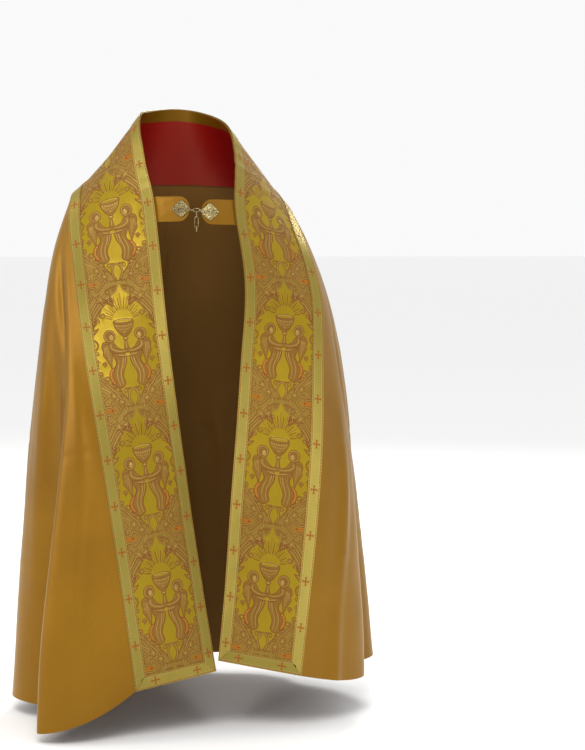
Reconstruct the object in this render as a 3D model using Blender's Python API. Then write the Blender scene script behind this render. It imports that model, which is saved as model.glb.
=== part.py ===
"""A cope: a satin cloak worn open, with brocade orphreys, a shield hood and a chained morse.

It hangs hollow, as it does on the wearer's shoulders. Metres, +Z up, the front faces -Y and the
wearer's right is -X. The origin is in the middle of the neck's base, where the wearer holds it up.
"""

import math

import bpy
import numpy as np
from mathutils import Matrix

# ---------------------------------------------------------------- driving sizes
GAP = 0.0003  # left between two pieces that meet
SATIN = 0.0020  # satin with its interlining
ORPHREY = 0.0020  # brocade on its stiffening
GALLOON = 0.0010
LINING = 0.0010
HOOD = 0.0030  # brocade, interlining and backing
FRINGE = 0.0045
TAB = 0.0024
GALLOON_WIDE = 0.028
FACING_WIDE = 0.030
BAND_BOW = 0.006  # how far an orphrey crowns between its edges
LINED_FROM_NAPE = 0.30  # how far down each front the lining is seen

HOOD_TOP = 0.250  # half widths of the hood, along the cloth
HOOD_WIDE = 0.284
HOOD_TALL = 0.430
HOOD_CORNER = 0.110
HOOD_LIFT = 0.0035  # off the back at the yoke seam
HOOD_STANDS_OFF = 0.012  # further off at its lower edge
FRINGE_LONG = 0.058
FRINGE_BELOW = 0.0012  # between the hood's edge and the fringe
FRINGE_SPREAD = 0.40  # how far a side strand leans out as it hangs
FRINGE_DROOP = 0.75  # and how far it turns down

TAB_TALL = 0.057
TAB_UNDER = 0.030  # sewn behind the orphrey
TAB_BEHIND = 0.0015
TAB_ROWS = 5
TAB_TIP = {"right": (-0.0217, -0.174, -0.1667), "left": (0.0053, -0.180, -0.1735)}
PLATE_WIDE = 0.046
PLATE_TALL = 0.039
PLATE_THICK = 0.0026
PLATE_FROM_TIP = 0.021
PLATE_BEVEL = 0.93  # its front's size beside its back's
LEAF_SHARP = 1.25  # 1 is a diamond and 2 an ellipse
LEAF_LOBES = 14
LEAF_LOBE = 0.035
WIRE = 0.0007  # radius of the morse's wire
LINK_SLACK = 0.0004  # between one link and the next

# The edge of each orphrey, from the nape down its front: where the inner edge and the outer edge are.
FRONT_COLUMNS = ("place", "inner_x", "inner_y", "inner_z", "outer_x", "outer_y", "outer_z")
RIGHT_FRONT = (
    ("nape", 0.000, 0.088, 0.075, 0.000, 0.158, -0.108),
    ("collar back", -0.043, 0.082, 0.071, -0.070, 0.154, -0.108),
    ("collar side", -0.077, 0.057, 0.066, -0.140, 0.135, -0.110),
    ("shoulder seam", -0.0995, 0.013, 0.049, -0.201, 0.098, -0.114),
    ("shoulder", -0.103, -0.010, 0.016, -0.231, 0.070, -0.118),
    ("shoulder front", -0.101, -0.035, -0.024, -0.250, 0.045, -0.126),
    ("collarbone", -0.0985, -0.063, -0.070, -0.262, 0.018, -0.143),
    ("morse", -0.092, -0.098, -0.125, -0.270, -0.010, -0.180),
    ("breast", -0.0865, -0.120, -0.195, -0.273, -0.038, -0.232),
    ("chest", -0.083, -0.137, -0.260, -0.272, -0.070, -0.290),
    ("elbow", -0.0766, -0.158, -0.378, -0.268, -0.122, -0.400),
    ("waist", -0.055, -0.183, -0.610, -0.247, -0.213, -0.640),
    ("thigh", -0.0315, -0.218, -0.840, -0.221, -0.272, -0.868),
    ("knee", -0.0107, -0.2635, -1.040, -0.200, -0.314, -1.062),
    ("hem", 0.0065, -0.308, -1.197, -0.183, -0.345, -1.223),
)
LEFT_FRONT = (
    ("nape", 0.000, 0.088, 0.075, 0.000, 0.158, -0.108),
    ("collar back", 0.045, 0.083, 0.071, 0.070, 0.154, -0.108),
    ("collar side", 0.079, 0.050, 0.059, 0.143, 0.132, -0.111),
    ("shoulder seam", 0.098, -0.005, 0.040, 0.198, 0.092, -0.114),
    ("shoulder", 0.107, -0.045, 0.0126, 0.234, 0.058, -0.126),
    ("shoulder front", 0.1076, -0.079, -0.0337, 0.252, 0.025, -0.143),
    ("collarbone", 0.100, -0.114, -0.083, 0.262, -0.014, -0.170),
    ("morse", 0.0904, -0.145, -0.154, 0.268, -0.062, -0.212),
    ("chest", 0.0965, -0.177, -0.250, 0.279, -0.122, -0.278),
    ("elbow", 0.0995, -0.207, -0.360, 0.288, -0.178, -0.378),
    ("belly", 0.088, -0.222, -0.480, 0.277, -0.232, -0.502),
    ("waist", 0.0774, -0.231, -0.600, 0.266, -0.270, -0.630),
    ("thigh", 0.0541, -0.252, -0.830, 0.241, -0.312, -0.862),
    ("knee", 0.0339, -0.278, -1.020, 0.214, -0.339, -1.048),
    ("hem", 0.0108, -0.309, -1.173, 0.190, -0.357, -1.208),
)
SHOULDER_ROW = 7  # the body's arm-side corner is on this row's outer edge

# The cloak as rings: how far it stands from the neck's axis at each angle round from the back seam
# (negative towards the wearer's right), at each height.
RING_ANGLES = (-150, -115, -80, -40, 0, 40, 80, 115, 150)
RINGS = (
    (-0.11, 0.275, 0.275, 0.258, 0.192, 0.158, 0.192, 0.258, 0.270, 0.270),
    (-0.24, 0.280, 0.287, 0.302, 0.230, 0.196, 0.230, 0.300, 0.312, 0.300),
    (-0.38, 0.290, 0.303, 0.327, 0.264, 0.234, 0.264, 0.336, 0.350, 0.335),
    (-0.62, 0.322, 0.337, 0.350, 0.298, 0.276, 0.300, 0.370, 0.390, 0.382),
    (-0.86, 0.345, 0.362, 0.364, 0.323, 0.308, 0.328, 0.394, 0.410, 0.395),
    (-1.10, 0.370, 0.390, 0.374, 0.344, 0.336, 0.352, 0.412, 0.427, 0.402),
    (-1.31, 0.395, 0.415, 0.384, 0.362, 0.358, 0.372, 0.426, 0.438, 0.406),
)
# The hem's height, by share of the way round from the back seam to each front edge.
HEM_SHARES = (-1, -0.93, -0.85, -0.68, -0.45, -0.2, 0, 0.2, 0.45, 0.65, 0.82, 1)
HEM_HEIGHTS = (
    *(-1.223, -1.279, -1.311, -1.303, -1.301, -1.298),
    *(-1.296, -1.288, -1.262, -1.233, -1.244, -1.208),
)

# Each large fold is a ridge (+) or a valley (-) whose place is a share of the way round from the
# back seam to the front edge (negative on the wearer's right). It is widest and deepest at the hem.
FOLD_COLUMNS = ("fold", "at_hem", "at_shoulder", "width_behind", "width_before", "depth", "starts")
FOLDS = (
    ("right front lobe", -0.845, -0.97, 0.045, 0.110, 0.092, 0.04),
    ("right front valley", -0.735, -0.86, 0.075, 0.055, -0.082, 0.06),
    ("right side lobe", -0.560, -0.62, 0.080, 0.070, 0.020, 0.10),
    ("right side valley", -0.455, -0.50, 0.045, 0.050, -0.020, 0.25),
    ("right back ridge", -0.350, -0.36, 0.070, 0.050, 0.016, 0.20),
    ("right back valley", -0.200, -0.22, 0.070, 0.080, -0.018, 0.25),
    ("left back valley", 0.170, 0.19, 0.060, 0.070, -0.010, 0.40),
    ("left back ridge", 0.300, 0.30, 0.070, 0.060, 0.014, 0.20),
    ("left side valley", 0.430, 0.47, 0.060, 0.060, -0.024, 0.22),
    ("left side lobe", 0.640, 0.70, 0.075, 0.050, 0.026, 0.08),
    ("left front valley", 0.735, 0.82, 0.045, 0.035, -0.040, 0.20),
    ("left front lobe", 0.820, 0.93, 0.045, 0.080, 0.012, 0.10),
)
FOLD_FULL = 1.15  # the level at which a fold would reach its whole depth

# The steps over which slopes are measured: in metres, and as a share of a width.
SLOPE_STEP = 0.004
SLOPE_SHARE = 0.02
FOLD_STEP = 0.004  # the same for the body's shares and levels

# How finely each half of the body is cut up.
BODY_COLUMNS = 26
BODY_LEVELS = (0, 0.035, 0.08, 0.14, 0.22, 0.31, 0.41, 0.52, 0.63, 0.74, 0.84, 0.93, 1)
TOP_BLEND = 5  # how quickly the rings take over below the yoke seam
EDGE_BLEND = 0.13  # share of the way round over which they meet the orphrey's edge

COLOURS = {
    "satin": ((0.60, 0.30, 0.05), 0.42, 0.0),
    "brocade": ((0.62, 0.42, 0.10), 0.55, 0.0),
    "galloon": ((0.68, 0.60, 0.24), 0.45, 0.0),
    "lining": ((0.38, 0.01, 0.01), 0.60, 0.0),
    "fringe": ((0.30, 0.25, 0.15), 0.50, 0.3),
    "silver": ((0.55, 0.50, 0.36), 0.32, 1.0),
}


# ---------------------------------------------------------------- curves and surfaces
def curvature(knots, values):
    """The second derivatives of natural cubics through each column of values."""
    step = np.diff(knots)
    system, right = np.eye(len(knots)), np.zeros_like(values)
    for i in range(1, len(knots) - 1):
        system[i, i - 1 : i + 2] = step[i - 1], 2 * (step[i - 1] + step[i]), step[i]
        slopes = (values[i] - values[i - 1]) / step[i - 1], (values[i + 1] - values[i]) / step[i]
        right[i] = 6 * (slopes[1] - slopes[0])
    return np.linalg.solve(system, right)


def spline(knots, values):
    """A function through the values at the knots: a natural cubic, flat past both ends."""
    knots, values = np.asarray(knots, float), np.asarray(values, float)
    count, step = len(knots), np.diff(knots)
    bend = curvature(knots, values)

    def at(where):
        where = np.clip(np.asarray(where, float), knots[0], knots[-1])
        i = np.clip(np.searchsorted(knots, where) - 1, 0, count - 2)
        wide = (...,) + (None,) * (values.ndim - 1)
        a = ((knots[i + 1] - where) / step[i])[wide]
        b = 1 - a
        square = (step[i] ** 2 / 6)[wide]
        bent = (a**3 - a) * bend[i] + (b**3 - b) * bend[i + 1]
        return a * values[i] + b * values[i + 1] + bent * square

    return at


def unit(vectors):
    return vectors / np.linalg.norm(vectors, axis=-1, keepdims=True)


def smooth(x):
    x = np.clip(x, 0, 1)
    return x * x * (3 - 2 * x)


# Both fronts are one ribbon, measured from the nape: negative down the wearer's right.
RIBBON = [dict(zip(FRONT_COLUMNS, row)) for row in RIGHT_FRONT[:0:-1] + LEFT_FRONT]
INNER = np.array([(row["inner_x"], row["inner_y"], row["inner_z"]) for row in RIBBON])
OUTER = np.array([(row["outer_x"], row["outer_y"], row["outer_z"]) for row in RIBBON])
MIDDLE_STEPS = np.linalg.norm(np.diff((INNER + OUTER) / 2, axis=0), axis=1)
NAPE = len(RIGHT_FRONT) - 1
ALONG = np.concatenate(([0], np.cumsum(MIDDLE_STEPS)))
ALONG = ALONG - ALONG[NAPE]
inner_edge, outer_edge = spline(ALONG, INNER), spline(ALONG, OUTER)
SIDES = {"right": -1, "left": 1}
FRONT_END = {"right": -ALONG[0], "left": ALONG[-1]}
SHOULDER = {"right": -ALONG[NAPE - SHOULDER_ROW], "left": ALONG[NAPE + SHOULDER_ROW]}


def band_point(along, across):
    """A point on an orphrey: `along` metres from the nape, `across` from 0 (inner) to 1 (outer edge)."""
    along, across = np.broadcast_arrays(np.asarray(along, float), np.asarray(across, float))
    inner, outer = inner_edge(along), outer_edge(along)
    further, nearer = along + SLOPE_STEP, along - SLOPE_STEP
    ahead = inner_edge(further) + outer_edge(further) - inner_edge(nearer) - outer_edge(nearer)
    crown = unit(np.cross(ahead, outer - inner))
    share = across[..., None]
    return inner * (1 - share) + outer * share + crown * (4 * BAND_BOW * share * (1 - share))


def band_normal(along, across):
    along, across = np.broadcast_arrays(np.asarray(along, float), np.asarray(across, float))
    before = np.maximum(along - SLOPE_STEP, ALONG[0])
    after = np.minimum(along + SLOPE_STEP, ALONG[-1])
    return unit(
        np.cross(
            band_point(after, across) - band_point(before, across),
            band_point(along, across + SLOPE_SHARE) - band_point(along, across - SLOPE_SHARE),
        )
    )


ring_radius = spline([-row[0] for row in RINGS], [row[1:] for row in RINGS])


def plain_radius(angle, height):
    """The rings' radius at each pair of angle (degrees) and height, before any fold."""
    by_angle = np.moveaxis(ring_radius(-height), -1, 0)
    flat = by_angle.reshape(len(RING_ANGLES), -1)
    knots, step = np.array(RING_ANGLES, float), np.diff(np.array(RING_ANGLES, float))
    where = np.clip(np.ravel(angle), knots[0], knots[-1])
    bend = curvature(knots, flat)
    i = np.clip(np.searchsorted(knots, where) - 1, 0, len(knots) - 2)
    point = np.arange(len(where))
    a = (knots[i + 1] - where) / step[i]
    b = 1 - a
    value = a * flat[i, point] + b * flat[i + 1, point]
    value += ((a**3 - a) * bend[i, point] + (b**3 - b) * bend[i + 1, point]) * step[i] ** 2 / 6
    return value.reshape(np.shape(angle))


hem_height = spline(HEM_SHARES, HEM_HEIGHTS)


def fold_depth(share, level):
    """How far the folds push the cloth out, at a share round (-1 to 1) and a level (0 yoke, 1 hem)."""
    out = np.zeros(np.broadcast(share, level).shape)
    for fold in (dict(zip(FOLD_COLUMNS, row)) for row in FOLDS):
        centre = fold["at_shoulder"] + (fold["at_hem"] - fold["at_shoulder"]) * smooth(level)
        offset = (share - centre) * np.sign(fold["at_hem"])
        width = np.where(offset < 0, fold["width_behind"], fold["width_before"])
        grown = smooth((level - fold["starts"]) / (FOLD_FULL - fold["starts"]))
        out = out + fold["depth"] * np.exp(-((offset / width) ** 2)) * grown
    return out


def off_rings(points, angle):
    """How far points stand outside the plain rings."""
    return np.hypot(points[..., 0], points[..., 1]) - plain_radius(angle, points[..., 2])


def body_point(share, level):
    """A point of the cloak: `share` from the back seam (0) to a front edge (-1 right, 1 left), `level`
    from the yoke seam (0) to the hem (1)."""
    share, level = np.broadcast_arrays(np.asarray(share, float), np.asarray(level, float))
    side = np.where(share < 0, -1.0, 1.0)
    shoulder = np.where(share < 0, SHOULDER["right"], SHOULDER["left"])
    end = np.where(share < 0, FRONT_END["right"], FRONT_END["left"])
    way = np.abs(share)
    top = outer_edge(side * way * shoulder)
    edge = outer_edge(side * (shoulder + (end - shoulder) * level))
    corner, hem_corner = outer_edge(side * shoulder), outer_edge(side * end)
    top_angle = np.degrees(np.arctan2(top[..., 0], top[..., 1]))
    edge_angle = np.degrees(np.arctan2(edge[..., 0], edge[..., 1]))
    corner_angle = np.degrees(np.arctan2(corner[..., 0], corner[..., 1]))
    fade = (1 - level) ** TOP_BLEND
    angle = way * edge_angle + (top_angle - way * corner_angle) * fade
    hem = hem_height(share)
    fallen = (edge[..., 2] - corner[..., 2]) / (hem_corner[..., 2] - corner[..., 2])
    height = top[..., 2] + (hem - top[..., 2]) * fallen
    radius = plain_radius(angle, height) + fold_depth(share, level)
    off_top = off_rings(top, top_angle) - fold_depth(share, 0)
    off_edge = off_rings(edge, edge_angle) - fold_depth(side, level)
    off_corner = off_rings(corner, corner_angle) - fold_depth(side, 0)
    near_edge = np.exp(-(((1 - way) / EDGE_BLEND) ** 2))
    radius = radius + off_top * fade + (off_edge - off_corner * fade) * near_edge
    turn = np.radians(angle)
    return np.stack([radius * np.sin(turn), radius * np.cos(turn), height], axis=-1)


def body_normal(share, level):
    """The cloak's outward direction. Levels run down and shares run from the right to the left."""
    share, level = np.broadcast_arrays(np.asarray(share, float), np.asarray(level, float))
    low, high = np.where(share > 0, 0.0, -1.0), np.where(share < 0, 0.0, 1.0)
    before, after = np.maximum(share - FOLD_STEP, low), np.minimum(share + FOLD_STEP, high)
    above, below = np.maximum(level - FOLD_STEP, 0), np.minimum(level + FOLD_STEP, 1)
    round_it = body_point(after, level) - body_point(before, level)
    down_it = body_point(share, below) - body_point(share, above)
    return unit(np.cross(round_it, down_it))


# ---------------------------------------------------------------- making meshes
def material(name):
    colour, roughness, metallic = COLOURS[name]
    made = bpy.data.materials.new(name)
    made.use_nodes = True
    shader = made.node_tree.nodes["Principled BSDF"]
    shader.inputs["Base Color"].default_value = (*colour, 1)
    shader.inputs["Roughness"].default_value = roughness
    shader.inputs["Metallic"].default_value = metallic
    return made


def add_mesh(name, points, faces, finish):
    mesh = bpy.data.meshes.new(name)
    mesh.from_pydata([tuple(map(float, p)) for p in points], [], faces)
    mesh.validate()
    mesh.materials.append(material(finish))
    mesh.shade_smooth()
    mesh.set_sharp_from_angle(angle=math.radians(50))
    thing = bpy.data.objects.new(name, mesh)
    bpy.context.collection.objects.link(thing)
    return thing


def wall(name, points, normals, thickness, finish, lift=0.0):
    """A closed cloth wall on a grid of points whose rows run down and whose columns run from the
    wearer's right to the left. Its outer face is `lift` off the grid."""
    rows, columns = points.shape[:2]
    outside = points + normals * lift
    inside = outside - normals * thickness
    count = rows * columns
    vertices = np.concatenate([outside.reshape(-1, 3), inside.reshape(-1, 3)])
    faces = []
    for i in range(rows - 1):
        for j in range(columns - 1):
            a = i * columns + j
            right, below, beyond = a + 1, a + columns, a + columns + 1
            faces += [(a, right, beyond), (a, beyond, below)]
            corners = count + a, count + right, count + below, count + beyond
            faces += [(corners[0], corners[3], corners[1]), (corners[0], corners[2], corners[3])]
    rim = [(0, j) for j in range(columns)] + [(i, columns - 1) for i in range(1, rows)]
    rim += [(rows - 1, j) for j in range(columns - 2, -1, -1)] + [(i, 0) for i in range(rows - 2, 0, -1)]
    for (i, j), (k, m) in zip(rim, rim[1:] + rim[:1]):
        a, b = i * columns + j, k * columns + m
        faces.append((b, a, count + a, count + b))
    return add_mesh(name, vertices, faces, finish)


def tube(name, centres, radius, finish, closed, sides=8):
    """A round wire along a list of points."""
    centres = np.asarray(centres, float)
    count = len(centres)
    if closed:
        tangents = unit(np.roll(centres, -1, axis=0) - np.roll(centres, 1, axis=0))
    else:
        tangents = unit(np.gradient(centres, axis=0))
    normal_of_plane = unit(np.cross(centres[1] - centres[0], centres[count // 3] - centres[0]))
    points, faces = [], []
    for centre, tangent in zip(centres, tangents):
        across = np.cross(tangent, normal_of_plane)
        for k in range(sides):
            turn = 2 * math.pi * k / sides
            points.append(centre + radius * (math.cos(turn) * across + math.sin(turn) * normal_of_plane))
    for i in range(count if closed else count - 1):
        for k in range(sides):
            a, b = i * sides + k, i * sides + (k + 1) % sides
            c, d = (b + sides) % (count * sides), (a + sides) % (count * sides)
            faces.append((a, d, c, b))
    if not closed:
        faces.append(tuple(range(sides)))
        faces.append(tuple(reversed(range((count - 1) * sides, count * sides))))
    return add_mesh(name, points, faces, finish)


def loop_link(centre, long, wide, along, across, turns=16):
    """The centre line of an oval link: two half circles joined by straight sides."""
    straight, radius = (long - wide) / 2, wide / 2
    points = []
    for k in range(turns):
        turn = 2 * math.pi * (k + 0.5) / turns
        shift = math.copysign(straight, math.cos(turn))
        points.append(centre + along * (shift + radius * math.cos(turn)) + across * radius * math.sin(turn))
    return points


# ---------------------------------------------------------------- the stations that pieces share
def hem_shares(side):
    """Shares round one half of the body that are evenly spaced along its hem."""
    dense = np.linspace(0, 1, 400)
    hem = body_point(SIDES[side] * dense, 1.0)
    run = np.concatenate(([0], np.cumsum(np.linalg.norm(np.diff(hem, axis=0), axis=1))))
    return np.interp(np.linspace(0, run[-1], BODY_COLUMNS + 1), run, dense)


def stations(side):
    """Places along one orphrey where its outer edge meets a corner of the body's facets, then its
    mitre and its hem."""
    shoulder, end = SHOULDER[side], FRONT_END[side]
    yoke = hem_shares(side) * shoulder
    front = shoulder + (end - shoulder) * np.array(BODY_LEVELS[1:])
    return np.concatenate([yoke, front])


def seam_normals(side):
    """Shared directions along the seam of body and orphrey, so that their walls don't cross."""
    way, shoulder, end = stations(side), SHOULDER[side], FRONT_END[side]
    on_yoke = way <= shoulder
    share = np.where(on_yoke, way / shoulder, 1.0) * SIDES[side]
    level = np.where(on_yoke, 0.0, (way - shoulder) / (end - shoulder))
    return unit(unit(body_normal(share, level)) + band_normal(SIDES[side] * way, 1.0))


def in_order(side, grid):
    """A grid's columns, counted from the nape, put in the order from the right to the left."""
    return grid[:, ::-1] if side == "right" else grid


def parted(side, grid):
    """Half a seam's gap between the two sides, where a grid's first column is on the middle."""
    grid = grid.copy()
    grid[:, 0, 0] = SIDES[side] * GAP / 2
    return grid


# ---------------------------------------------------------------- the cloak
def make_body(side):
    shares = hem_shares(side) * SIDES[side]
    levels = np.array(BODY_LEVELS)[:, None]
    points = parted(side, body_point(shares[None, :], levels))
    normals = body_normal(shares[None, :], levels)
    seam = seam_normals(side)
    normals[0, :] = seam[: BODY_COLUMNS + 1]
    normals[:, -1] = seam[BODY_COLUMNS:]
    normals[:, 0, 0] = 0
    wall(f"body_{side}", in_order(side, points), in_order(side, unit(normals)), SATIN, "satin")


def band_grid(side, way, lines):
    """Points and directions on an orphrey at each place along it and each line across it."""
    along = SIDES[side] * way[None, :]
    points = band_point(along, np.array(lines)[:, None])
    normals = band_normal(along, np.array(lines)[:, None])
    normals[:, 0, 0] = 0
    return parted(side, points), unit(normals)


WIDTH = 0.200  # an orphrey's usual width
GALLOON_SHARE = GALLOON_WIDE / WIDTH
SEAM_SHARE = 1 - 2 * GAP / WIDTH
BAND_LINES = (0.0, GALLOON_SHARE, 0.5, 1 - GALLOON_SHARE, SEAM_SHARE)


def make_orphrey(side):
    points, normals = band_grid(side, stations(side), BAND_LINES)
    normals[-1] = seam_normals(side)
    wall(f"orphrey_{side}", in_order(side, points), in_order(side, normals), ORPHREY, "brocade")


def make_galloon(side, edge):
    """The edge braid down a front, mitred at the hem."""
    way = stations(side)
    outer_rail, inner_rail = (SEAM_SHARE, 1 - GALLOON_SHARE) if edge == "outer" else (0.0, GALLOON_SHARE)
    mitred = way - (GALLOON_WIDE + GAP) * smooth((way - way[-1] + 0.2) / 0.2)
    rails = [(way, outer_rail), (mitred, inner_rail)]
    if edge == "outer":
        rails.reverse()
    points = np.stack([band_point(SIDES[side] * place, across) for place, across in rails])
    normals = np.stack([band_normal(SIDES[side] * place, across) for place, across in rails])
    if edge == "outer":
        normals[-1] = seam_normals(side)
    normals[:, 0, 0] = 0
    points, normals = in_order(side, parted(side, points)), in_order(side, unit(normals))
    wall(f"galloon_{edge}_{side}", points, normals, GALLOON, "galloon", lift=GALLOON + 2 * GAP)


def make_hem_galloon(side):
    end = FRONT_END[side]
    inner_share = GALLOON_SHARE + GAP / WIDTH
    count = 5
    upper = np.linspace(inner_share, 1 - inner_share, count)
    lower = np.linspace(2 * GAP / WIDTH, SEAM_SHARE - 2 * GAP / WIDTH, count)
    share = np.stack([upper, lower], axis=1)
    along = SIDES[side] * np.broadcast_to([[end - GALLOON_WIDE, end]], share.shape)
    points, normals = band_point(along, share), band_normal(along, share)
    if side == "right":
        points, normals = points[:, ::-1], normals[:, ::-1]
    wall(f"galloon_hem_{side}", points, normals, GALLOON, "galloon", lift=GALLOON + 4 * GAP)


def make_back_galloon():
    """The braid over the orphreys' join at the centre back."""
    along = np.array([[-GALLOON_WIDE / 2, 0, GALLOON_WIDE / 2]])
    share = np.linspace(GALLOON_SHARE + 2 * GAP / WIDTH, 1 - GALLOON_SHARE - 2 * GAP / WIDTH, 5)[:, None]
    points, normals = band_point(along, share), band_normal(along, share)
    wall("galloon_back", points, normals, GALLOON, "galloon", lift=GALLOON + 2 * GAP)


def lined_stations():
    """Both sides' stations down to where the lining stops, from right to left."""
    right, left = (stations(side)[stations(side) < LINED_FROM_NAPE] for side in ("right", "left"))
    return np.concatenate([-right[:0:-1], left])


def make_lining():
    """Inside the neck: a facing along the edge, then the lining behind the rest of the orphrey."""
    along = lined_stations()[None, :]
    facing_share = FACING_WIDE / WIDTH
    pieces = {
        "neck_facing": (0.0, GALLOON_SHARE, facing_share),
        "neck_lining": (facing_share + GAP / WIDTH, 0.5, 1 - GALLOON_SHARE, 0.97),
    }
    for name, lines in pieces.items():
        share = np.array(lines)[:, None]
        finish = "lining" if name == "neck_lining" else "satin"
        points, normals = band_point(along, share), band_normal(along, share)
        wall(name, points, normals, LINING, finish, lift=-ORPHREY - 2 * GAP)


# ---------------------------------------------------------------- the hood
BACK_DROP = float(np.linalg.norm(np.diff(body_point(0.0, np.linspace(0, 1, 60)), axis=0), axis=1).sum())


def hood_surface(across, down):
    """Points and directions over the back, at distances across from its seam and down from the yoke."""
    across, down = np.broadcast_arrays(np.asarray(across, float), np.asarray(down, float))
    shares = np.linspace(-1, 1, 161)
    points, normals = np.empty(across.shape + (3,)), np.empty(across.shape + (3,))
    for place in np.ndindex(across.shape):
        level = max(down[place], 0) / BACK_DROP
        row = body_point(shares, level)
        run = np.concatenate(([0], np.cumsum(np.linalg.norm(np.diff(row, axis=0), axis=1))))
        run -= run[len(shares) // 2]
        share = np.interp(across[place], run, shares)
        points[place] = body_point(share, level)
        normals[place] = body_normal(share, level)
    stands = HOOD_LIFT + HOOD_STANDS_OFF * (np.maximum(down, 0) / HOOD_TALL) ** 1.5
    return points + normals * (stands + HOOD)[..., None], normals


# The distances down its straight sides, and the angles round its corners, where its outline is cut up.
HOOD_STRAIGHT = np.linspace(0.004, HOOD_TALL - HOOD_CORNER, 9)
HOOD_TURNS = np.radians((18, 36, 52, 66, 78, 90))
HOOD_HALF_COLUMNS = 9


def hood_half_width(down):
    """Half of the hood's width at a distance down from the yoke seam, with its rounded corner."""
    widened = math.sin(math.pi / 2 * min(down / (HOOD_TALL - HOOD_CORNER), 1))
    side = HOOD_TOP + (HOOD_WIDE - HOOD_TOP) * widened
    below = max(down - (HOOD_TALL - HOOD_CORNER), 0)
    return side - HOOD_CORNER + math.sqrt(max(HOOD_CORNER**2 - below**2, 0))


def hood_outline(inset=0.0):
    """The hood's side and lower edges, moved in by `inset`, from its top right round to its top left."""
    corner_down = HOOD_TALL - HOOD_CORNER
    half = [(hood_half_width(down) - inset, down) for down in HOOD_STRAIGHT]
    radius, middle = HOOD_CORNER - inset, HOOD_WIDE - HOOD_CORNER
    for turn in HOOD_TURNS:
        half.append((middle + radius * math.cos(turn), corner_down + radius * math.sin(turn)))
    for k in range(HOOD_HALF_COLUMNS - 1, -1, -1):
        half.append((middle * k / HOOD_HALF_COLUMNS, HOOD_TALL - inset))
    return np.array([(-across, down) for across, down in half] + half[-2::-1])


def make_hood():
    rounded = HOOD_TALL - HOOD_CORNER + HOOD_CORNER * np.sin(HOOD_TURNS)
    down = np.concatenate([HOOD_STRAIGHT, rounded])
    columns = np.linspace(-1, 1, 2 * HOOD_HALF_COLUMNS + 1)
    across = np.array([hood_half_width(d) for d in down])[:, None] * columns[None, :]
    points, normals = hood_surface(across, np.broadcast_to(down[:, None], across.shape))
    wall("hood", points, normals, HOOD, "brocade")
    rails = hood_outline(GALLOON_WIDE), hood_outline(0.0005)
    braid = [hood_surface(rail[:, 0], rail[:, 1]) for rail in rails]
    points, normals = (np.stack([b[k] for b in braid]) for k in (0, 1))
    wall("hood_galloon", points, normals, GALLOON, "galloon", lift=GALLOON + 0.0011)
    root = hood_outline(-FRINGE_BELOW)
    tangent = np.gradient(root, axis=0)
    outward = unit(np.stack([-tangent[:, 1], tangent[:, 0]], axis=1))
    sideways = 1 - np.abs(outward[:, 1:])
    hang = unit(outward * np.array([FRINGE_SPREAD, 1.0]) + np.array([0.0, FRINGE_DROOP]) * sideways)
    rails = root, root + hang * FRINGE_LONG / 2, root + hang * FRINGE_LONG
    strands = [hood_surface(rail[:, 0], rail[:, 1]) for rail in rails]
    points, normals = (np.stack([s[k] for s in strands]) for k in (0, 1))
    wall("hood_fringe", points, normals, FRINGE, "fringe", lift=0.001)


# ---------------------------------------------------------------- the morse
def along_at_height(side, height):
    """How far along an orphrey its inner edge passes a height on the breast."""
    way = SIDES[side] * np.linspace(0.15, 0.6, 200)
    return float(way[np.argmin(np.abs(inner_edge(way)[:, 2] - height))])


def tab_frame(side):
    """Where a morse tab leaves the orphrey, its direction to its tip, and the way that it faces."""
    tip = np.array(TAB_TIP[side])
    edge = band_point(along_at_height(side, tip[2]), 0.0)
    ahead = unit(tip - edge)
    return edge, tip, ahead, unit(np.cross([0, 0, 1], ahead) * SIDES[side])


def make_tab(side):
    """A satin tab sewn behind the orphrey, with a round end."""
    _, tip, ahead, facing = tab_frame(side)
    radius = TAB_TALL / 2
    turns = np.radians((0, 20, 40, 58, 74, 84))
    ends = [(radius * (1 - math.sin(turn)), radius * math.cos(turn) + GAP) for turn in turns]
    points, normals = [], []
    for row in np.linspace(1, -1, TAB_ROWS):
        along = along_at_height(side, tip[2] + radius * row)
        places = TAB_UNDER / WIDTH, 0.0
        sewn = [(band_point(along, share), band_normal(along, share)) for share in places]
        under = [point - normal * (ORPHREY + TAB_BEHIND) for point, normal in sewn]
        tall = np.array([0, 0, 1.0])
        front = [tip - ahead * back + tall * half * row for back, half in ends]
        between = [under[1] + (front[0] - under[1]) * share for share in (0.25, 0.6)]
        points.append(under + between + front)
        normals.append([sewn[0][1], unit(sewn[1][1] + facing)] + [facing] * (len(between) + len(front)))
    points, normals = np.array(points), np.array(normals)
    if side == "right":
        points, normals = points[:, ::-1], normals[:, ::-1]
    wall(f"tab_{side}", points, normals, TAB, "satin")


def leaf_outline(points=28):
    """A pointed leaf with lobed sides, as across and up."""
    outline = []
    for k in range(points):
        turn = 2 * math.pi * k / points
        wide, tall = math.cos(turn), math.sin(turn)
        pointed = 1 / (abs(wide) ** LEAF_SHARP + abs(tall) ** LEAF_SHARP) ** (1 / LEAF_SHARP)
        reach = pointed * (1 + LEAF_LOBE * math.cos(LEAF_LOBES * turn))
        outline.append((PLATE_WIDE / 2 * reach * wide, PLATE_TALL / 2 * reach * tall))
    return outline


def plate_frame(side):
    _, tip, ahead, facing = tab_frame(side)
    return tip - ahead * PLATE_FROM_TIP + facing * 2 * GAP, ahead, facing


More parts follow.
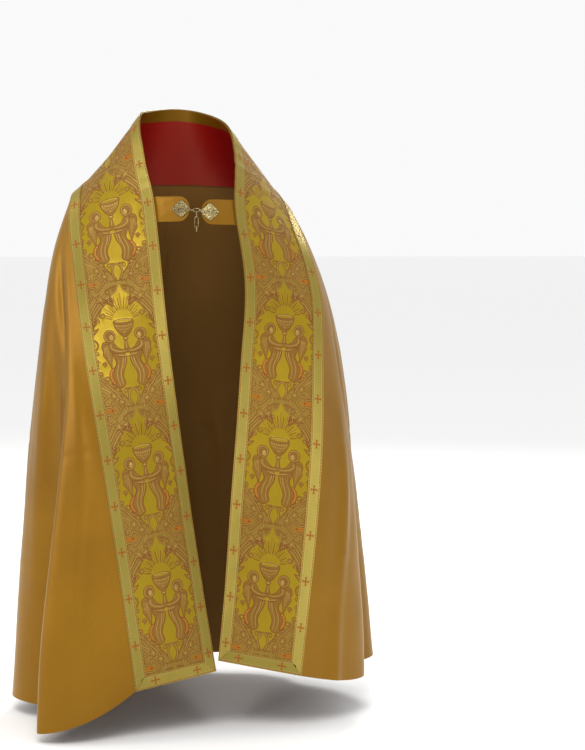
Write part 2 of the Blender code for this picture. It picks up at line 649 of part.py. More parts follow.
def make_plate(side):
    centre, ahead, facing = plate_frame(side)
    outline = leaf_outline()
    tall = np.cross(facing, ahead)
    back = [centre + ahead * a + tall * b for a, b in outline]
    top = centre + facing * PLATE_THICK
    front = [top + (ahead * a + tall * b) * PLATE_BEVEL for a, b in outline]
    count = len(outline)
    faces = [tuple(reversed(range(count))), tuple(range(count, 2 * count))]
    faces += [(k, (k + 1) % count, count + (k + 1) % count, count + k) for k in range(count)]
    add_mesh(f"clasp_plate_{side}", back + front, faces, "silver")


RING_LONG = 0.0150
RING_TALL = 0.0070
RING_OFFSET = np.array([0.0015, -0.0030, 0.0])
HOOK_BEND = 0.0017


def morse_middle():
    """The centre of the ring that joins the plates, a little in front of the tabs."""
    ends = [plate_frame(side)[0] + plate_frame(side)[1] * PLATE_WIDE / 2 for side in ("right", "left")]
    middle = (ends[0] + ends[1]) / 2
    return middle + RING_OFFSET


def make_hook(name, side):
    """A wire from a plate's point that passes round one end of the ring."""
    centre, ahead, facing = plate_frame(side)
    middle = morse_middle()
    toward = SIDES[side]
    ring_end = middle + np.array([toward * RING_LONG / 2, 0, 0])
    start = centre + ahead * (PLATE_WIDE / 2 * 0.90) + facing * (PLATE_THICK + WIRE + GAP)
    start = np.array([start[0], min(start[1], ring_end[1] - HOOK_BEND), ring_end[2]])
    path = [start, start * 0.5 + (ring_end + np.array([0, -HOOK_BEND, 0])) * 0.5]
    for turn in range(-90, 135, 25):
        angle = math.radians(turn)
        bend = np.array([-toward * math.cos(angle), math.sin(angle), 0]) * HOOK_BEND
        path.append(ring_end + bend)
    tube(name, path, WIRE, "silver", closed=False)


UPPER_LONG, UPPER_WIDE = 0.0150, 0.0046
LONG_LONG, LONG_WIDE = 0.0240, 0.0080
DROP_LONG, DROP_WIDE = 0.0110, 0.0042


def chain_pivots():
    """Where each hanging link turns, from the ring's lower wire down."""
    pivot = morse_middle() - np.array([0, 0, RING_TALL / 2])
    pitch = 2 * WIRE + LINK_SLACK
    second = pivot - np.array([0, 0, UPPER_LONG - pitch])
    third = second - np.array([0, 0, LONG_LONG - pitch])
    return pivot, second, third


def make_chain():
    x, y, z = np.eye(3)
    ring = loop_link(morse_middle(), RING_LONG, RING_TALL, x, z, 20)
    tube("clasp_ring", ring, WIRE, "silver", closed=True)
    reach = 2 * WIRE + LINK_SLACK
    pivots = chain_pivots()
    links = (
        ("chain_link_upper", UPPER_LONG, UPPER_WIDE, y),
        ("chain_link_long", LONG_LONG, LONG_WIDE, x),
        ("chain_drop", DROP_LONG, DROP_WIDE, y),
    )
    for pivot, (name, long, wide, across) in zip(pivots, links):
        centre = pivot + z * (reach - long / 2)
        made = tube(name, loop_link(centre, long, wide, z, across), WIRE, "silver", closed=True)
        made.data.transform(Matrix.Translation(-pivot))
        made.location = pivot


def clear_scene():
    for thing in list(bpy.data.objects):
        bpy.data.objects.remove(thing, do_unlink=True)


def main():
    clear_scene()
    for side in SIDES:
        make_body(side)
        make_orphrey(side)
        make_galloon(side, "inner")
        make_galloon(side, "outer")
        make_hem_galloon(side)
        make_tab(side)
        make_plate(side)
    make_back_galloon()
    make_lining()
    make_hood()
    make_hook("clasp_hook", "right")
    make_hook("clasp_eyelet", "left")
    make_chain()


main()
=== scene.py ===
"""The looks of the cope: its cloth as fine shells, its brocade woven figure by figure, its clasp.

Every surface repeats the CAD's own tables, so a piece lies where its solid lies. Metres, +Z up, the
front faces -Y and the wearer's right is -X.
"""

import math

import bpy
import numpy as np
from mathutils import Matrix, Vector, geometry


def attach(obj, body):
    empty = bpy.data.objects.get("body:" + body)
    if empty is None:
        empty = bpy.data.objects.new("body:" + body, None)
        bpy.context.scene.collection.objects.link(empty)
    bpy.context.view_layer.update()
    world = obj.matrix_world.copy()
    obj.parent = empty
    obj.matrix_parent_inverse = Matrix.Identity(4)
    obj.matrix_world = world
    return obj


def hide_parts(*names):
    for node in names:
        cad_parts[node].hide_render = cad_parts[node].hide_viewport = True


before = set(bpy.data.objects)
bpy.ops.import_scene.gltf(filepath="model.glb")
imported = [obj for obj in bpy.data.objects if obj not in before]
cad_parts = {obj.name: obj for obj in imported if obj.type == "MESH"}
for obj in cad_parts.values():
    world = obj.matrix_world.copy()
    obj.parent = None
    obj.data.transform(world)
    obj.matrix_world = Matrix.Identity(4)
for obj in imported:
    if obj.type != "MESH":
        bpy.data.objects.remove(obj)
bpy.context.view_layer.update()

# ---------------------------------------------------------------- driving sizes
GAP = 0.0003  # left between two pieces that meet
SATIN = 0.0020  # satin with its interlining
ORPHREY = 0.0020  # brocade on its stiffening
GALLOON = 0.0010
LINING = 0.0010
HOOD = 0.0030  # brocade, interlining and backing
TAB = 0.0024
GALLOON_WIDE = 0.028
FACING_WIDE = 0.030
BAND_BOW = 0.006  # how far an orphrey crowns between its edges
LINED_FROM_NAPE = 0.30  # how far down each front the lining is seen

HOOD_TOP = 0.250  # half widths of the hood, along the cloth
HOOD_WIDE = 0.284
HOOD_TALL = 0.430
HOOD_CORNER = 0.110
HOOD_LIFT = 0.0035  # off the back at the yoke seam
HOOD_STANDS_OFF = 0.012  # further off at its lower edge
FRINGE_LONG = 0.058
FRINGE_BELOW = 0.0012  # between the hood's edge and the fringe
FRINGE_SPREAD = 0.40  # how far a side strand leans out as it hangs
FRINGE_DROOP = 0.75  # and how far it turns down

TAB_TALL = 0.057
TAB_UNDER = 0.030  # sewn behind the orphrey
TAB_BEHIND = 0.0015
TAB_ROWS = 5
TAB_TIP = {"right": (-0.0217, -0.174, -0.1667), "left": (0.0053, -0.180, -0.1735)}
PLATE_WIDE = 0.046
PLATE_TALL = 0.039
PLATE_THICK = 0.0026
PLATE_FROM_TIP = 0.021
LEAF_SHARP = 1.25  # 1 is a diamond and 2 an ellipse
LEAF_LOBES = 14
LEAF_LOBE = 0.035
WIRE = 0.0007  # radius of the morse's wire
LINK_SLACK = 0.0004  # between one link and the next

# The edge of each orphrey, from the nape down its front: where the inner edge and the outer edge are.
FRONT_COLUMNS = ("place", "inner_x", "inner_y", "inner_z", "outer_x", "outer_y", "outer_z")
RIGHT_FRONT = (
    ("nape", 0.000, 0.088, 0.075, 0.000, 0.158, -0.108),
    ("collar back", -0.043, 0.082, 0.071, -0.070, 0.154, -0.108),
    ("collar side", -0.077, 0.057, 0.066, -0.140, 0.135, -0.110),
    ("shoulder seam", -0.0995, 0.013, 0.049, -0.201, 0.098, -0.114),
    ("shoulder", -0.103, -0.010, 0.016, -0.231, 0.070, -0.118),
    ("shoulder front", -0.101, -0.035, -0.024, -0.250, 0.045, -0.126),
    ("collarbone", -0.0985, -0.063, -0.070, -0.262, 0.018, -0.143),
    ("morse", -0.092, -0.098, -0.125, -0.270, -0.010, -0.180),
    ("breast", -0.0865, -0.120, -0.195, -0.273, -0.038, -0.232),
    ("chest", -0.083, -0.137, -0.260, -0.272, -0.070, -0.290),
    ("elbow", -0.0766, -0.158, -0.378, -0.268, -0.122, -0.400),
    ("waist", -0.055, -0.183, -0.610, -0.247, -0.213, -0.640),
    ("thigh", -0.0315, -0.218, -0.840, -0.221, -0.272, -0.868),
    ("knee", -0.0107, -0.2635, -1.040, -0.200, -0.314, -1.062),
    ("hem", 0.0065, -0.308, -1.197, -0.183, -0.345, -1.223),
)
LEFT_FRONT = (
    ("nape", 0.000, 0.088, 0.075, 0.000, 0.158, -0.108),
    ("collar back", 0.045, 0.083, 0.071, 0.070, 0.154, -0.108),
    ("collar side", 0.079, 0.050, 0.059, 0.143, 0.132, -0.111),
    ("shoulder seam", 0.098, -0.005, 0.040, 0.198, 0.092, -0.114),
    ("shoulder", 0.107, -0.045, 0.0126, 0.234, 0.058, -0.126),
    ("shoulder front", 0.1076, -0.079, -0.0337, 0.252, 0.025, -0.143),
    ("collarbone", 0.100, -0.114, -0.083, 0.262, -0.014, -0.170),
    ("morse", 0.0904, -0.145, -0.154, 0.268, -0.062, -0.212),
    ("chest", 0.0965, -0.177, -0.250, 0.279, -0.122, -0.278),
    ("elbow", 0.0995, -0.207, -0.360, 0.288, -0.178, -0.378),
    ("belly", 0.088, -0.222, -0.480, 0.277, -0.232, -0.502),
    ("waist", 0.0774, -0.231, -0.600, 0.266, -0.270, -0.630),
    ("thigh", 0.0541, -0.252, -0.830, 0.241, -0.312, -0.862),
    ("knee", 0.0339, -0.278, -1.020, 0.214, -0.339, -1.048),
    ("hem", 0.0108, -0.309, -1.173, 0.190, -0.357, -1.208),
)
SHOULDER_ROW = 7  # the body's arm-side corner is on this row's outer edge

# The cloak as rings: how far it stands from the neck's axis at each angle round from the back seam
# (negative towards the wearer's right), at each height.
RING_ANGLES = (-150, -115, -80, -40, 0, 40, 80, 115, 150)
RINGS = (
    (-0.11, 0.275, 0.275, 0.258, 0.192, 0.158, 0.192, 0.258, 0.270, 0.270),
    (-0.24, 0.280, 0.287, 0.302, 0.230, 0.196, 0.230, 0.300, 0.312, 0.300),
    (-0.38, 0.290, 0.303, 0.327, 0.264, 0.234, 0.264, 0.336, 0.350, 0.335),
    (-0.62, 0.322, 0.337, 0.350, 0.298, 0.276, 0.300, 0.370, 0.390, 0.382),
    (-0.86, 0.345, 0.362, 0.364, 0.323, 0.308, 0.328, 0.394, 0.410, 0.395),
    (-1.10, 0.370, 0.390, 0.374, 0.344, 0.336, 0.352, 0.412, 0.427, 0.402),
    (-1.31, 0.395, 0.415, 0.384, 0.362, 0.358, 0.372, 0.426, 0.438, 0.406),
)
# The hem's height, by share of the way round from the back seam to each front edge.
HEM_SHARES = (-1, -0.93, -0.85, -0.68, -0.45, -0.2, 0, 0.2, 0.45, 0.65, 0.82, 1)
HEM_HEIGHTS = (
    *(-1.223, -1.279, -1.311, -1.303, -1.301, -1.298),
    *(-1.296, -1.288, -1.262, -1.233, -1.244, -1.208),
)

# Each large fold is a ridge (+) or a valley (-) whose place is a share of the way round from the
# back seam to the front edge (negative on the wearer's right). It is widest and deepest at the hem.
FOLD_COLUMNS = ("fold", "at_hem", "at_shoulder", "width_behind", "width_before", "depth", "starts")
FOLDS = (
    ("right front lobe", -0.845, -0.97, 0.045, 0.110, 0.092, 0.04),
    ("right front valley", -0.735, -0.86, 0.075, 0.055, -0.082, 0.06),
    ("right side lobe", -0.560, -0.62, 0.080, 0.070, 0.020, 0.10),
    ("right side valley", -0.455, -0.50, 0.045, 0.050, -0.020, 0.25),
    ("right back ridge", -0.350, -0.36, 0.070, 0.050, 0.016, 0.20),
    ("right back valley", -0.200, -0.22, 0.070, 0.080, -0.018, 0.25),
    ("left back valley", 0.170, 0.19, 0.060, 0.070, -0.010, 0.40),
    ("left back ridge", 0.300, 0.30, 0.070, 0.060, 0.014, 0.20),
    ("left side valley", 0.430, 0.47, 0.060, 0.060, -0.024, 0.22),
    ("left side lobe", 0.640, 0.70, 0.075, 0.050, 0.026, 0.08),
    ("left front valley", 0.735, 0.82, 0.045, 0.035, -0.040, 0.20),
    ("left front lobe", 0.820, 0.93, 0.045, 0.080, 0.012, 0.10),
)
FOLD_FULL = 1.15  # the level at which a fold would reach its whole depth

# The steps over which slopes are measured: in metres, and as a share of a width.
SLOPE_STEP = 0.004
SLOPE_SHARE = 0.02
FOLD_STEP = 0.004  # the same for the body's shares and levels

TOP_BLEND = 5  # how quickly the rings take over below the yoke seam
EDGE_BLEND = 0.13  # share of the way round over which they meet the orphrey's edge


# ---------------------------------------------------------------- curves and surfaces
def curvature(knots, values):
    """The second derivatives of natural cubics through each column of values."""
    step = np.diff(knots)
    system, right = np.eye(len(knots)), np.zeros_like(values)
    for i in range(1, len(knots) - 1):
        system[i, i - 1 : i + 2] = step[i - 1], 2 * (step[i - 1] + step[i]), step[i]
        slopes = (values[i] - values[i - 1]) / step[i - 1], (values[i + 1] - values[i]) / step[i]
        right[i] = 6 * (slopes[1] - slopes[0])
    return np.linalg.solve(system, right)


def spline(knots, values):
    """A function through the values at the knots: a natural cubic, flat past both ends."""
    knots, values = np.asarray(knots, float), np.asarray(values, float)
    count, step = len(knots), np.diff(knots)
    bend = curvature(knots, values)

    def at(where):
        """The curve's value at each place."""
        where = np.clip(np.asarray(where, float), knots[0], knots[-1])
        i = np.clip(np.searchsorted(knots, where) - 1, 0, count - 2)
        wide = (...,) + (None,) * (values.ndim - 1)
        a = ((knots[i + 1] - where) / step[i])[wide]
        b = 1 - a
        square = (step[i] ** 2 / 6)[wide]
        bent = (a**3 - a) * bend[i] + (b**3 - b) * bend[i + 1]
        return a * values[i] + b * values[i + 1] + bent * square

    return at


def unit(vectors):
    """The same directions, one long."""
    return vectors / np.linalg.norm(vectors, axis=-1, keepdims=True)


def smooth(x):
    """A soft step from 0 to 1."""
    x = np.clip(x, 0, 1)
    return x * x * (3 - 2 * x)


def run_along(line):
    """How far each point is along a line, from its first point."""
    return np.concatenate(([0], np.cumsum(np.linalg.norm(np.diff(line, axis=0), axis=1))))


def length_of(line):
    """A line's whole length."""
    return float(np.linalg.norm(np.diff(line, axis=0), axis=1).sum())


# Both fronts are one ribbon, measured from the nape: negative down the wearer's right.
RIBBON = [dict(zip(FRONT_COLUMNS, row)) for row in RIGHT_FRONT[:0:-1] + LEFT_FRONT]
INNER = np.array([(row["inner_x"], row["inner_y"], row["inner_z"]) for row in RIBBON])
OUTER = np.array([(row["outer_x"], row["outer_y"], row["outer_z"]) for row in RIBBON])
NAPE = len(RIGHT_FRONT) - 1
ALONG = run_along((INNER + OUTER) / 2)
ALONG = ALONG - ALONG[NAPE]
inner_edge, outer_edge = spline(ALONG, INNER), spline(ALONG, OUTER)
SIDES = {"right": -1, "left": 1}
FRONT_END = {"right": -ALONG[0], "left": ALONG[-1]}
SHOULDER = {"right": -ALONG[NAPE - SHOULDER_ROW], "left": ALONG[NAPE + SHOULDER_ROW]}


def band_point(along, across):
    """A point on an orphrey: `along` metres from the nape, `across` from 0 (inner) to 1 (outer edge)."""
    along, across = np.broadcast_arrays(np.asarray(along, float), np.asarray(across, float))
    inner, outer = inner_edge(along), outer_edge(along)
    further, nearer = along + SLOPE_STEP, along - SLOPE_STEP
    ahead = inner_edge(further) + outer_edge(further) - inner_edge(nearer) - outer_edge(nearer)
    crown = unit(np.cross(ahead, outer - inner))
    share = across[..., None]
    return inner * (1 - share) + outer * share + crown * (4 * BAND_BOW * share * (1 - share))


def band_normal(along, across):
    """An orphrey's outward direction."""
    along, across = np.broadcast_arrays(np.asarray(along, float), np.asarray(across, float))
    before = np.maximum(along - SLOPE_STEP, ALONG[0])
    after = np.minimum(along + SLOPE_STEP, ALONG[-1])
    return unit(
        np.cross(
            band_point(after, across) - band_point(before, across),
            band_point(along, across + SLOPE_SHARE) - band_point(along, across - SLOPE_SHARE),
        )
    )


ring_radius = spline([-row[0] for row in RINGS], [row[1:] for row in RINGS])


def plain_radius(angle, height):
    """The rings' radius at each pair of angle (degrees) and height, before any fold."""
    by_angle = np.moveaxis(ring_radius(-height), -1, 0)
    flat = by_angle.reshape(len(RING_ANGLES), -1)
    knots, step = np.array(RING_ANGLES, float), np.diff(np.array(RING_ANGLES, float))
    where = np.clip(np.ravel(angle), knots[0], knots[-1])
    bend = curvature(knots, flat)
    i = np.clip(np.searchsorted(knots, where) - 1, 0, len(knots) - 2)
    point = np.arange(len(where))
    a = (knots[i + 1] - where) / step[i]
    b = 1 - a
    value = a * flat[i, point] + b * flat[i + 1, point]
    value += ((a**3 - a) * bend[i, point] + (b**3 - b) * bend[i + 1, point]) * step[i] ** 2 / 6
    return value.reshape(np.shape(angle))


hem_height = spline(HEM_SHARES, HEM_HEIGHTS)


def fold_depth(share, level):
    """How far the folds push the cloth out, at a share round (-1 to 1) and a level (0 yoke, 1 hem)."""
    out = np.zeros(np.broadcast(share, level).shape)
    for fold in (dict(zip(FOLD_COLUMNS, row)) for row in FOLDS):
        centre = fold["at_shoulder"] + (fold["at_hem"] - fold["at_shoulder"]) * smooth(level)
        offset = (share - centre) * np.sign(fold["at_hem"])
        width = np.where(offset < 0, fold["width_behind"], fold["width_before"])
        grown = smooth((level - fold["starts"]) / (FOLD_FULL - fold["starts"]))
        out = out + fold["depth"] * np.exp(-((offset / width) ** 2)) * grown
    return out


def off_rings(points, angle):
    """How far points stand outside the plain rings."""
    return np.hypot(points[..., 0], points[..., 1]) - plain_radius(angle, points[..., 2])


def body_point(share, level):
    """A point of the cloak: `share` from the back seam (0) to a front edge (-1 right, 1 left), `level`
    from the yoke seam (0) to the hem (1)."""
    share, level = np.broadcast_arrays(np.asarray(share, float), np.asarray(level, float))
    side = np.where(share < 0, -1.0, 1.0)
    shoulder = np.where(share < 0, SHOULDER["right"], SHOULDER["left"])
    end = np.where(share < 0, FRONT_END["right"], FRONT_END["left"])
    way = np.abs(share)
    top = outer_edge(side * way * shoulder)
    edge = outer_edge(side * (shoulder + (end - shoulder) * level))
    corner, hem_corner = outer_edge(side * shoulder), outer_edge(side * end)
    top_angle = np.degrees(np.arctan2(top[..., 0], top[..., 1]))
    edge_angle = np.degrees(np.arctan2(edge[..., 0], edge[..., 1]))
    corner_angle = np.degrees(np.arctan2(corner[..., 0], corner[..., 1]))
    fade = (1 - level) ** TOP_BLEND
    angle = way * edge_angle + (top_angle - way * corner_angle) * fade
    hem = hem_height(share)
    fallen = (edge[..., 2] - corner[..., 2]) / (hem_corner[..., 2] - corner[..., 2])
    height = top[..., 2] + (hem - top[..., 2]) * fallen
    radius = plain_radius(angle, height) + fold_depth(share, level)
    off_top = off_rings(top, top_angle) - fold_depth(share, 0)
    off_edge = off_rings(edge, edge_angle) - fold_depth(side, level)
    off_corner = off_rings(corner, corner_angle) - fold_depth(side, 0)
    near_edge = np.exp(-(((1 - way) / EDGE_BLEND) ** 2))
    radius = radius + off_top * fade + (off_edge - off_corner * fade) * near_edge
    turn = np.radians(angle)
    return np.stack([radius * np.sin(turn), radius * np.cos(turn), height], axis=-1)


def body_normal(share, level):
    """The cloak's outward direction. Levels run down and shares run from the right to the left."""
    share, level = np.broadcast_arrays(np.asarray(share, float), np.asarray(level, float))
    low, high = np.where(share > 0, 0.0, -1.0), np.where(share < 0, 0.0, 1.0)
    before, after = np.maximum(share - FOLD_STEP, low), np.minimum(share + FOLD_STEP, high)
    above, below = np.maximum(level - FOLD_STEP, 0), np.minimum(level + FOLD_STEP, 1)
    round_it = body_point(after, level) - body_point(before, level)
    down_it = body_point(share, below) - body_point(share, above)
    return unit(np.cross(round_it, down_it))


# ---------------------------------------------------------------- the brocade's figures
# A repeat is drawn in millimetres: x across from the chalice's axis, y down from its rim. Only the
# right half is drawn, from the axis to the axis of the crosses, and the rest is its mirror image.
REPEAT_WIDE, REPEAT_TALL = 160.0, 275.0
REPEAT_TOP = -87.0
CROSS = (80.0, 188.0)
LEAF_SPREAD = 105  # degrees from a vine leaf's middle to its last lobe
GROUND, FIELD, FIGURE, OUTLINE, LIGHT, INLAY = range(6)


def bent(points, closed=False, steps=3):
    """A smooth line through points, in `steps` parts from each to the next."""
    points = np.asarray(points, float)
    if closed:
        ring = np.concatenate([points[-1:], points, points[:2]])
    else:
        ring = np.concatenate([2 * points[:1] - points[1:2], points, 2 * points[-1:] - points[-2:-1]])
    line = []
    for i in range(1, len(ring) - 2):
        p, q, r, s = ring[i - 1 : i + 3]
        for k in range(steps):
            t = k / steps
            bend, twist = 2 * p - 5 * q + 4 * r - s, 3 * q - p - 3 * r + s
            line.append(0.5 * (2 * q + (r - p) * t + bend * t**2 + twist * t**3))
    if not closed:
        line.append(points[-1])
    return np.array(line)


def oval(x, y, radius, tall, sides):
    """Points round an oval, which is a circle where `tall` is None."""
    turn = 2 * math.pi * np.arange(sides) / sides
    tall = radius if tall is None else tall
    return np.stack([x + radius * np.cos(turn), y + tall * np.sin(turn)], axis=1)


def whole(half):
    """A closed outline from its right half, whose ends are on the axis."""
    return half + [(-x, y) for x, y in half[-2:0:-1]]


class Drawing:
    """Woven figures in the order in which they lie, each a simple outline and its thread."""

    def __init__(self):
        """Nothing drawn yet."""
        self.shapes = []

    def fill(self, thread, points):
        """A figure filled with one thread, wound the same way as every other."""
        points = np.asarray(points, float)
        turned = np.roll(points, -1, axis=0)
        area = (points[:, 0] * turned[:, 1] - turned[:, 0] * points[:, 1]).sum()
        if abs(area) > 1e-3:
            self.shapes.append((thread, points if area > 0 else points[::-1]))

    def stroke(self, thread, points, width, closed=False, taper=0.0):
        """A line of thread. With a taper it thins towards its end."""
        points = np.asarray(points, float)
        if closed:
            tangent = np.roll(points, -1, axis=0) - np.roll(points, 1, axis=0)
        else:
            tangent = np.gradient(points, axis=0)
        tangent = tangent / np.maximum(np.linalg.norm(tangent, axis=1, keepdims=True), 1e-9)
        side = np.stack([-tangent[:, 1], tangent[:, 0]], axis=1)
        half = width / 2 * (1 - taper * np.linspace(0, 1, len(points)))[:, None]
        left, right = points + side * half, points - side * half
        last = len(points) if closed else len(points) - 1
        for i in range(last):
            j = (i + 1) % len(points)
            self.fill(thread, [left[i], left[j], right[j], right[i]])

    def shape(self, points, thread=FIGURE, rim=0.9, closed_steps=3):
        """A filled figure with a rust outline."""
        line = bent(points, closed=True, steps=closed_steps)
        self.fill(thread, line)
        self.stroke(OUTLINE, line, rim, closed=True)

    def disc(self, thread, x, y, radius, tall=None, sides=10):
        """A filled oval."""
        self.fill(thread, oval(x, y, radius, tall, sides))

    def ring(self, thread, x, y, radius, width, tall=None, sides=16):
        """An oval line."""
        self.stroke(thread, oval(x, y, radius, tall, sides), width, closed=True)

    def bead(self, x, y, rim, heart, sides=7):
        """A light dot in a rust rim."""
        self.disc(OUTLINE, x, y, rim, sides=sides)
        self.disc(LIGHT, x, y, heart, sides=6)

    def vine(self, points, width, vein):
        """A stem with a rust outline and a light vein."""
        line = bent(points, steps=2)
        for thread, wide in ((OUTLINE, width), (FIGURE, width - 1.8), (LIGHT, vein)):
            self.stroke(thread, line, wide)

    def curl(self, x, y, radius, start, turns, width=2.0, thread=FIGURE, lead=None):
        """A scroll that winds in to a point, with a light heart, after an optional lead-in line."""
        count = int(8 * abs(turns)) + 2
        turn = math.radians(start) + np.linspace(0, 2 * math.pi * turns, count)
        reach = radius * (1 - 0.72 * np.linspace(0, 1, count))
        line = np.stack([x + reach * np.cos(turn), y + reach * np.sin(turn)], axis=1)
        if lead is not None:
            line = np.concatenate([bent(list(lead) + [line[0]])[:-1], line])
        self.stroke(OUTLINE, line, width + 1.5, taper=0.35)
        self.stroke(thread, line, width, taper=0.5)
        self.disc(LIGHT, x, y, radius * 0.2, sides=6)

    def grapes(self, x, y, lean, rows=(4, 4, 3, 2, 1), size=2.6):
        """A bunch that hangs towards `lean` degrees from straight down."""
        down = np.array([math.sin(math.radians(lean)), math.cos(math.radians(lean))])
        side = np.array([down[1], -down[0]])
        for row, berries in enumerate(rows):
            for k in range(berries):
                beside = (k - (berries - 1) / 2) * size * 2.0
                centre = np.array([x, y]) + down * row * size * 1.65 + side * beside
                self.disc(OUTLINE, *centre, size * 1.1, sides=6)
                self.disc(LIGHT if (row + k) % 2 else FIGURE, *centre, size * 0.72, sides=5)

    def leaf(self, x, y, turned, size, lobes=5):
        """A vine leaf: pointed lobes round a stalk, with veins, `turned` degrees from straight down."""
        outline, veins = [], []
        for k in range(lobes):
            spread = (k - (lobes - 1) / 2) / ((lobes - 1) / 2)
            angle = math.radians(turned + LEAF_SPREAD * spread)
            reach = size * (1 - 0.32 * abs(spread))
            outline.append((angle, reach))
            veins.append((angle, reach * 0.72))
            if k < lobes - 1:
                notch = math.radians(turned + LEAF_SPREAD * (spread + 1 / (lobes - 1)))
                outline.append((notch, size * 0.50))
        line = [(x + r * math.sin(a), y + r * math.cos(a)) for a, r in outline]
        stalk, way = size * 0.18, math.radians(turned)
        line.append((x - stalk * math.sin(way), y - stalk * math.cos(way)))
        self.shape(line, closed_steps=2)
        for angle, reach in veins:
            tip = (x + reach * math.sin(angle), y + reach * math.cos(angle))
            self.stroke(LIGHT, [(x, y), tip], 1.7, taper=0.7)


def draw_ground(art):
    """The bright ground behind the angels, pointed above and below."""
    right = [(0, -82), (7, -66), (20, -56), (30, -42), (44, -30), (52, -16), (62, -2), (72, 6), (90, 10)]
    right += [(90, 98), (74, 104), (60, 116), (50, 132), (36, 146), (22, 156), (10, 172), (0, 190)]
    art.fill(GROUND, whole(right))


def draw_field_edge(art, centre):
    """The wavy rim of the plain field round a cross."""
    x, y = centre
    edge = [(0, -60), (-9, -50), (-24, -40), (-33, -26), (-48, -16), (-60, 0), (-48, 16), (-34, 28)]
    edge += [(-24, 46), (-9, 62), (0, 76)]
    line = bent([(x + a, y + b) for a, b in edge])
    art.stroke(OUTLINE, line, 3.6)
    art.stroke(LIGHT, line, 2.0)


def draw_cross(art, centre):
    """Four spear-headed arms round a ring."""
    x, y = centre

    def outline(arm):
        """Four arms from one arm's half outline: distance out and half width."""
        points = []
        for quarter in range(4):
            turn = math.pi / 2 * quarter
            for r, w in arm[1:] + [(r, -w) for r, w in arm[-2::-1]]:
                across = r * math.cos(turn) + w * math.sin(turn)
                down = r * math.sin(turn) - w * math.cos(turn)
                points.append((x + across, y + down))
        return points

    band = [(9.5, 9.5), (17, 10), (22, 9.6), (24, 13), (26, 19), (32, 17), (42, 7.5), (49, 0)]
    line = outline(band)
    art.fill(FIGURE, line)
    art.stroke(OUTLINE, line, 1.3, closed=True)
    inner = outline([(8.4, 8.4), (22.5, 7.6), (27.5, 15.6), (32, 14.4), (40, 6.4), (46, 0)])
    art.stroke(LIGHT, inner, 1.1, closed=True)
    field = outline([(6.0, 6.0), (24, 5.6), (30, 12.2), (34, 9.6), (39, 4.4), (42.5, 0)])
    art.fill(FIELD, field)
    art.stroke(OUTLINE, field, 0.9, closed=True)
    art.fill(INLAY, outline([(3.8, 3.8), (20, 3.4), (24, 6.4), (28, 3.2), (36, 0)]))
    for dx, dy in ((1, 0), (0, 1), (-1, 0), (0, -1)):
        a, b = x + 25 * dx, y + 25 * dy
        art.fill(OUTLINE, [(a - 2.6, b), (a, b - 2.6), (a + 2.6, b), (a, b + 2.6)])
    for dx, dy in ((-1, 1), (-1, -1)):
        art.bead(x + 14.5 * dx, y + 14.5 * dy, 3.6, 2.2)
    art.disc(OUTLINE, x, y, 8.6, sides=14)
    art.disc(LIGHT, x, y, 7.4, sides=12)
    art.disc(OUTLINE, x, y, 5.6, sides=12)
    art.disc(INLAY, x, y, 4.6, sides=10)
    for dx, dy in ((1, 0), (0, 1)):
        art.stroke(OUTLINE, [(x - 4.4 * dx, y - 4.4 * dy), (x + 4.4 * dx, y + 4.4 * dy)], 1.2)


def draw_chalice(art):
    """The chalice and the rays that rise from it."""
    for k in range(10):
        turn = math.radians(8.6 * k)
        near, far = 25.0, 61.0 - 0.20 * 8.6 * k if k % 2 == 0 else 53.0 - 0.16 * 8.6 * k
        way = np.array([math.sin(turn), -math.cos(turn)])
        art.stroke(OUTLINE if k % 2 else FIGURE, [way * near, way * far], 1.9, taper=0.25)
    bowl = [(0, -4), (12, -3.4), (23, 0), (22, 9), (18, 19), (11, 29), (5, 34), (0, 35)]
    art.shape(whole(bowl), rim=1.3)
    art.disc(OUTLINE, 0, 0, 21.5, 4.9, sides=18)
    art.disc(LIGHT, 0, 0, 20.0, 3.8, sides=16)
    art.disc(GROUND, 0, 0.8, 17.0, 2.4, sides=14)
    art.stroke(OUTLINE, [(0, 8.4), (10, 7.8), (21.5, 5.2)], 0.9)
    for k in range(4):
        art.disc(LIGHT, 0.1 + 5.6 * k, 12.2 - 0.28 * k * k, 1.9, sides=7)
        art.disc(LIGHT, 3 + 4.4 * k, 19.4 - 0.5 * k * k, 1.4, sides=6)
    art.disc(LIGHT, 0, 25.5, 1.9, sides=6)
    art.stroke(OUTLINE, [(0, 30), (5, 29), (11.5, 26)], 0.9)
    stem = [(3.4, 33), (2.8, 45), (5, 58), (8, 66)]
    art.fill(FIGURE, whole([(0, 33), *stem, (0, 68)]))
    art.stroke(OUTLINE, stem, 1.0)
    art.disc(OUTLINE, 0, 39, 6.4, 3.8, sides=12)
    art.disc(LIGHT, 0, 39, 4.6, 2.3, sides=10)
    art.stroke(LIGHT, [(0, 46), (0.2, 60)], 1.4)


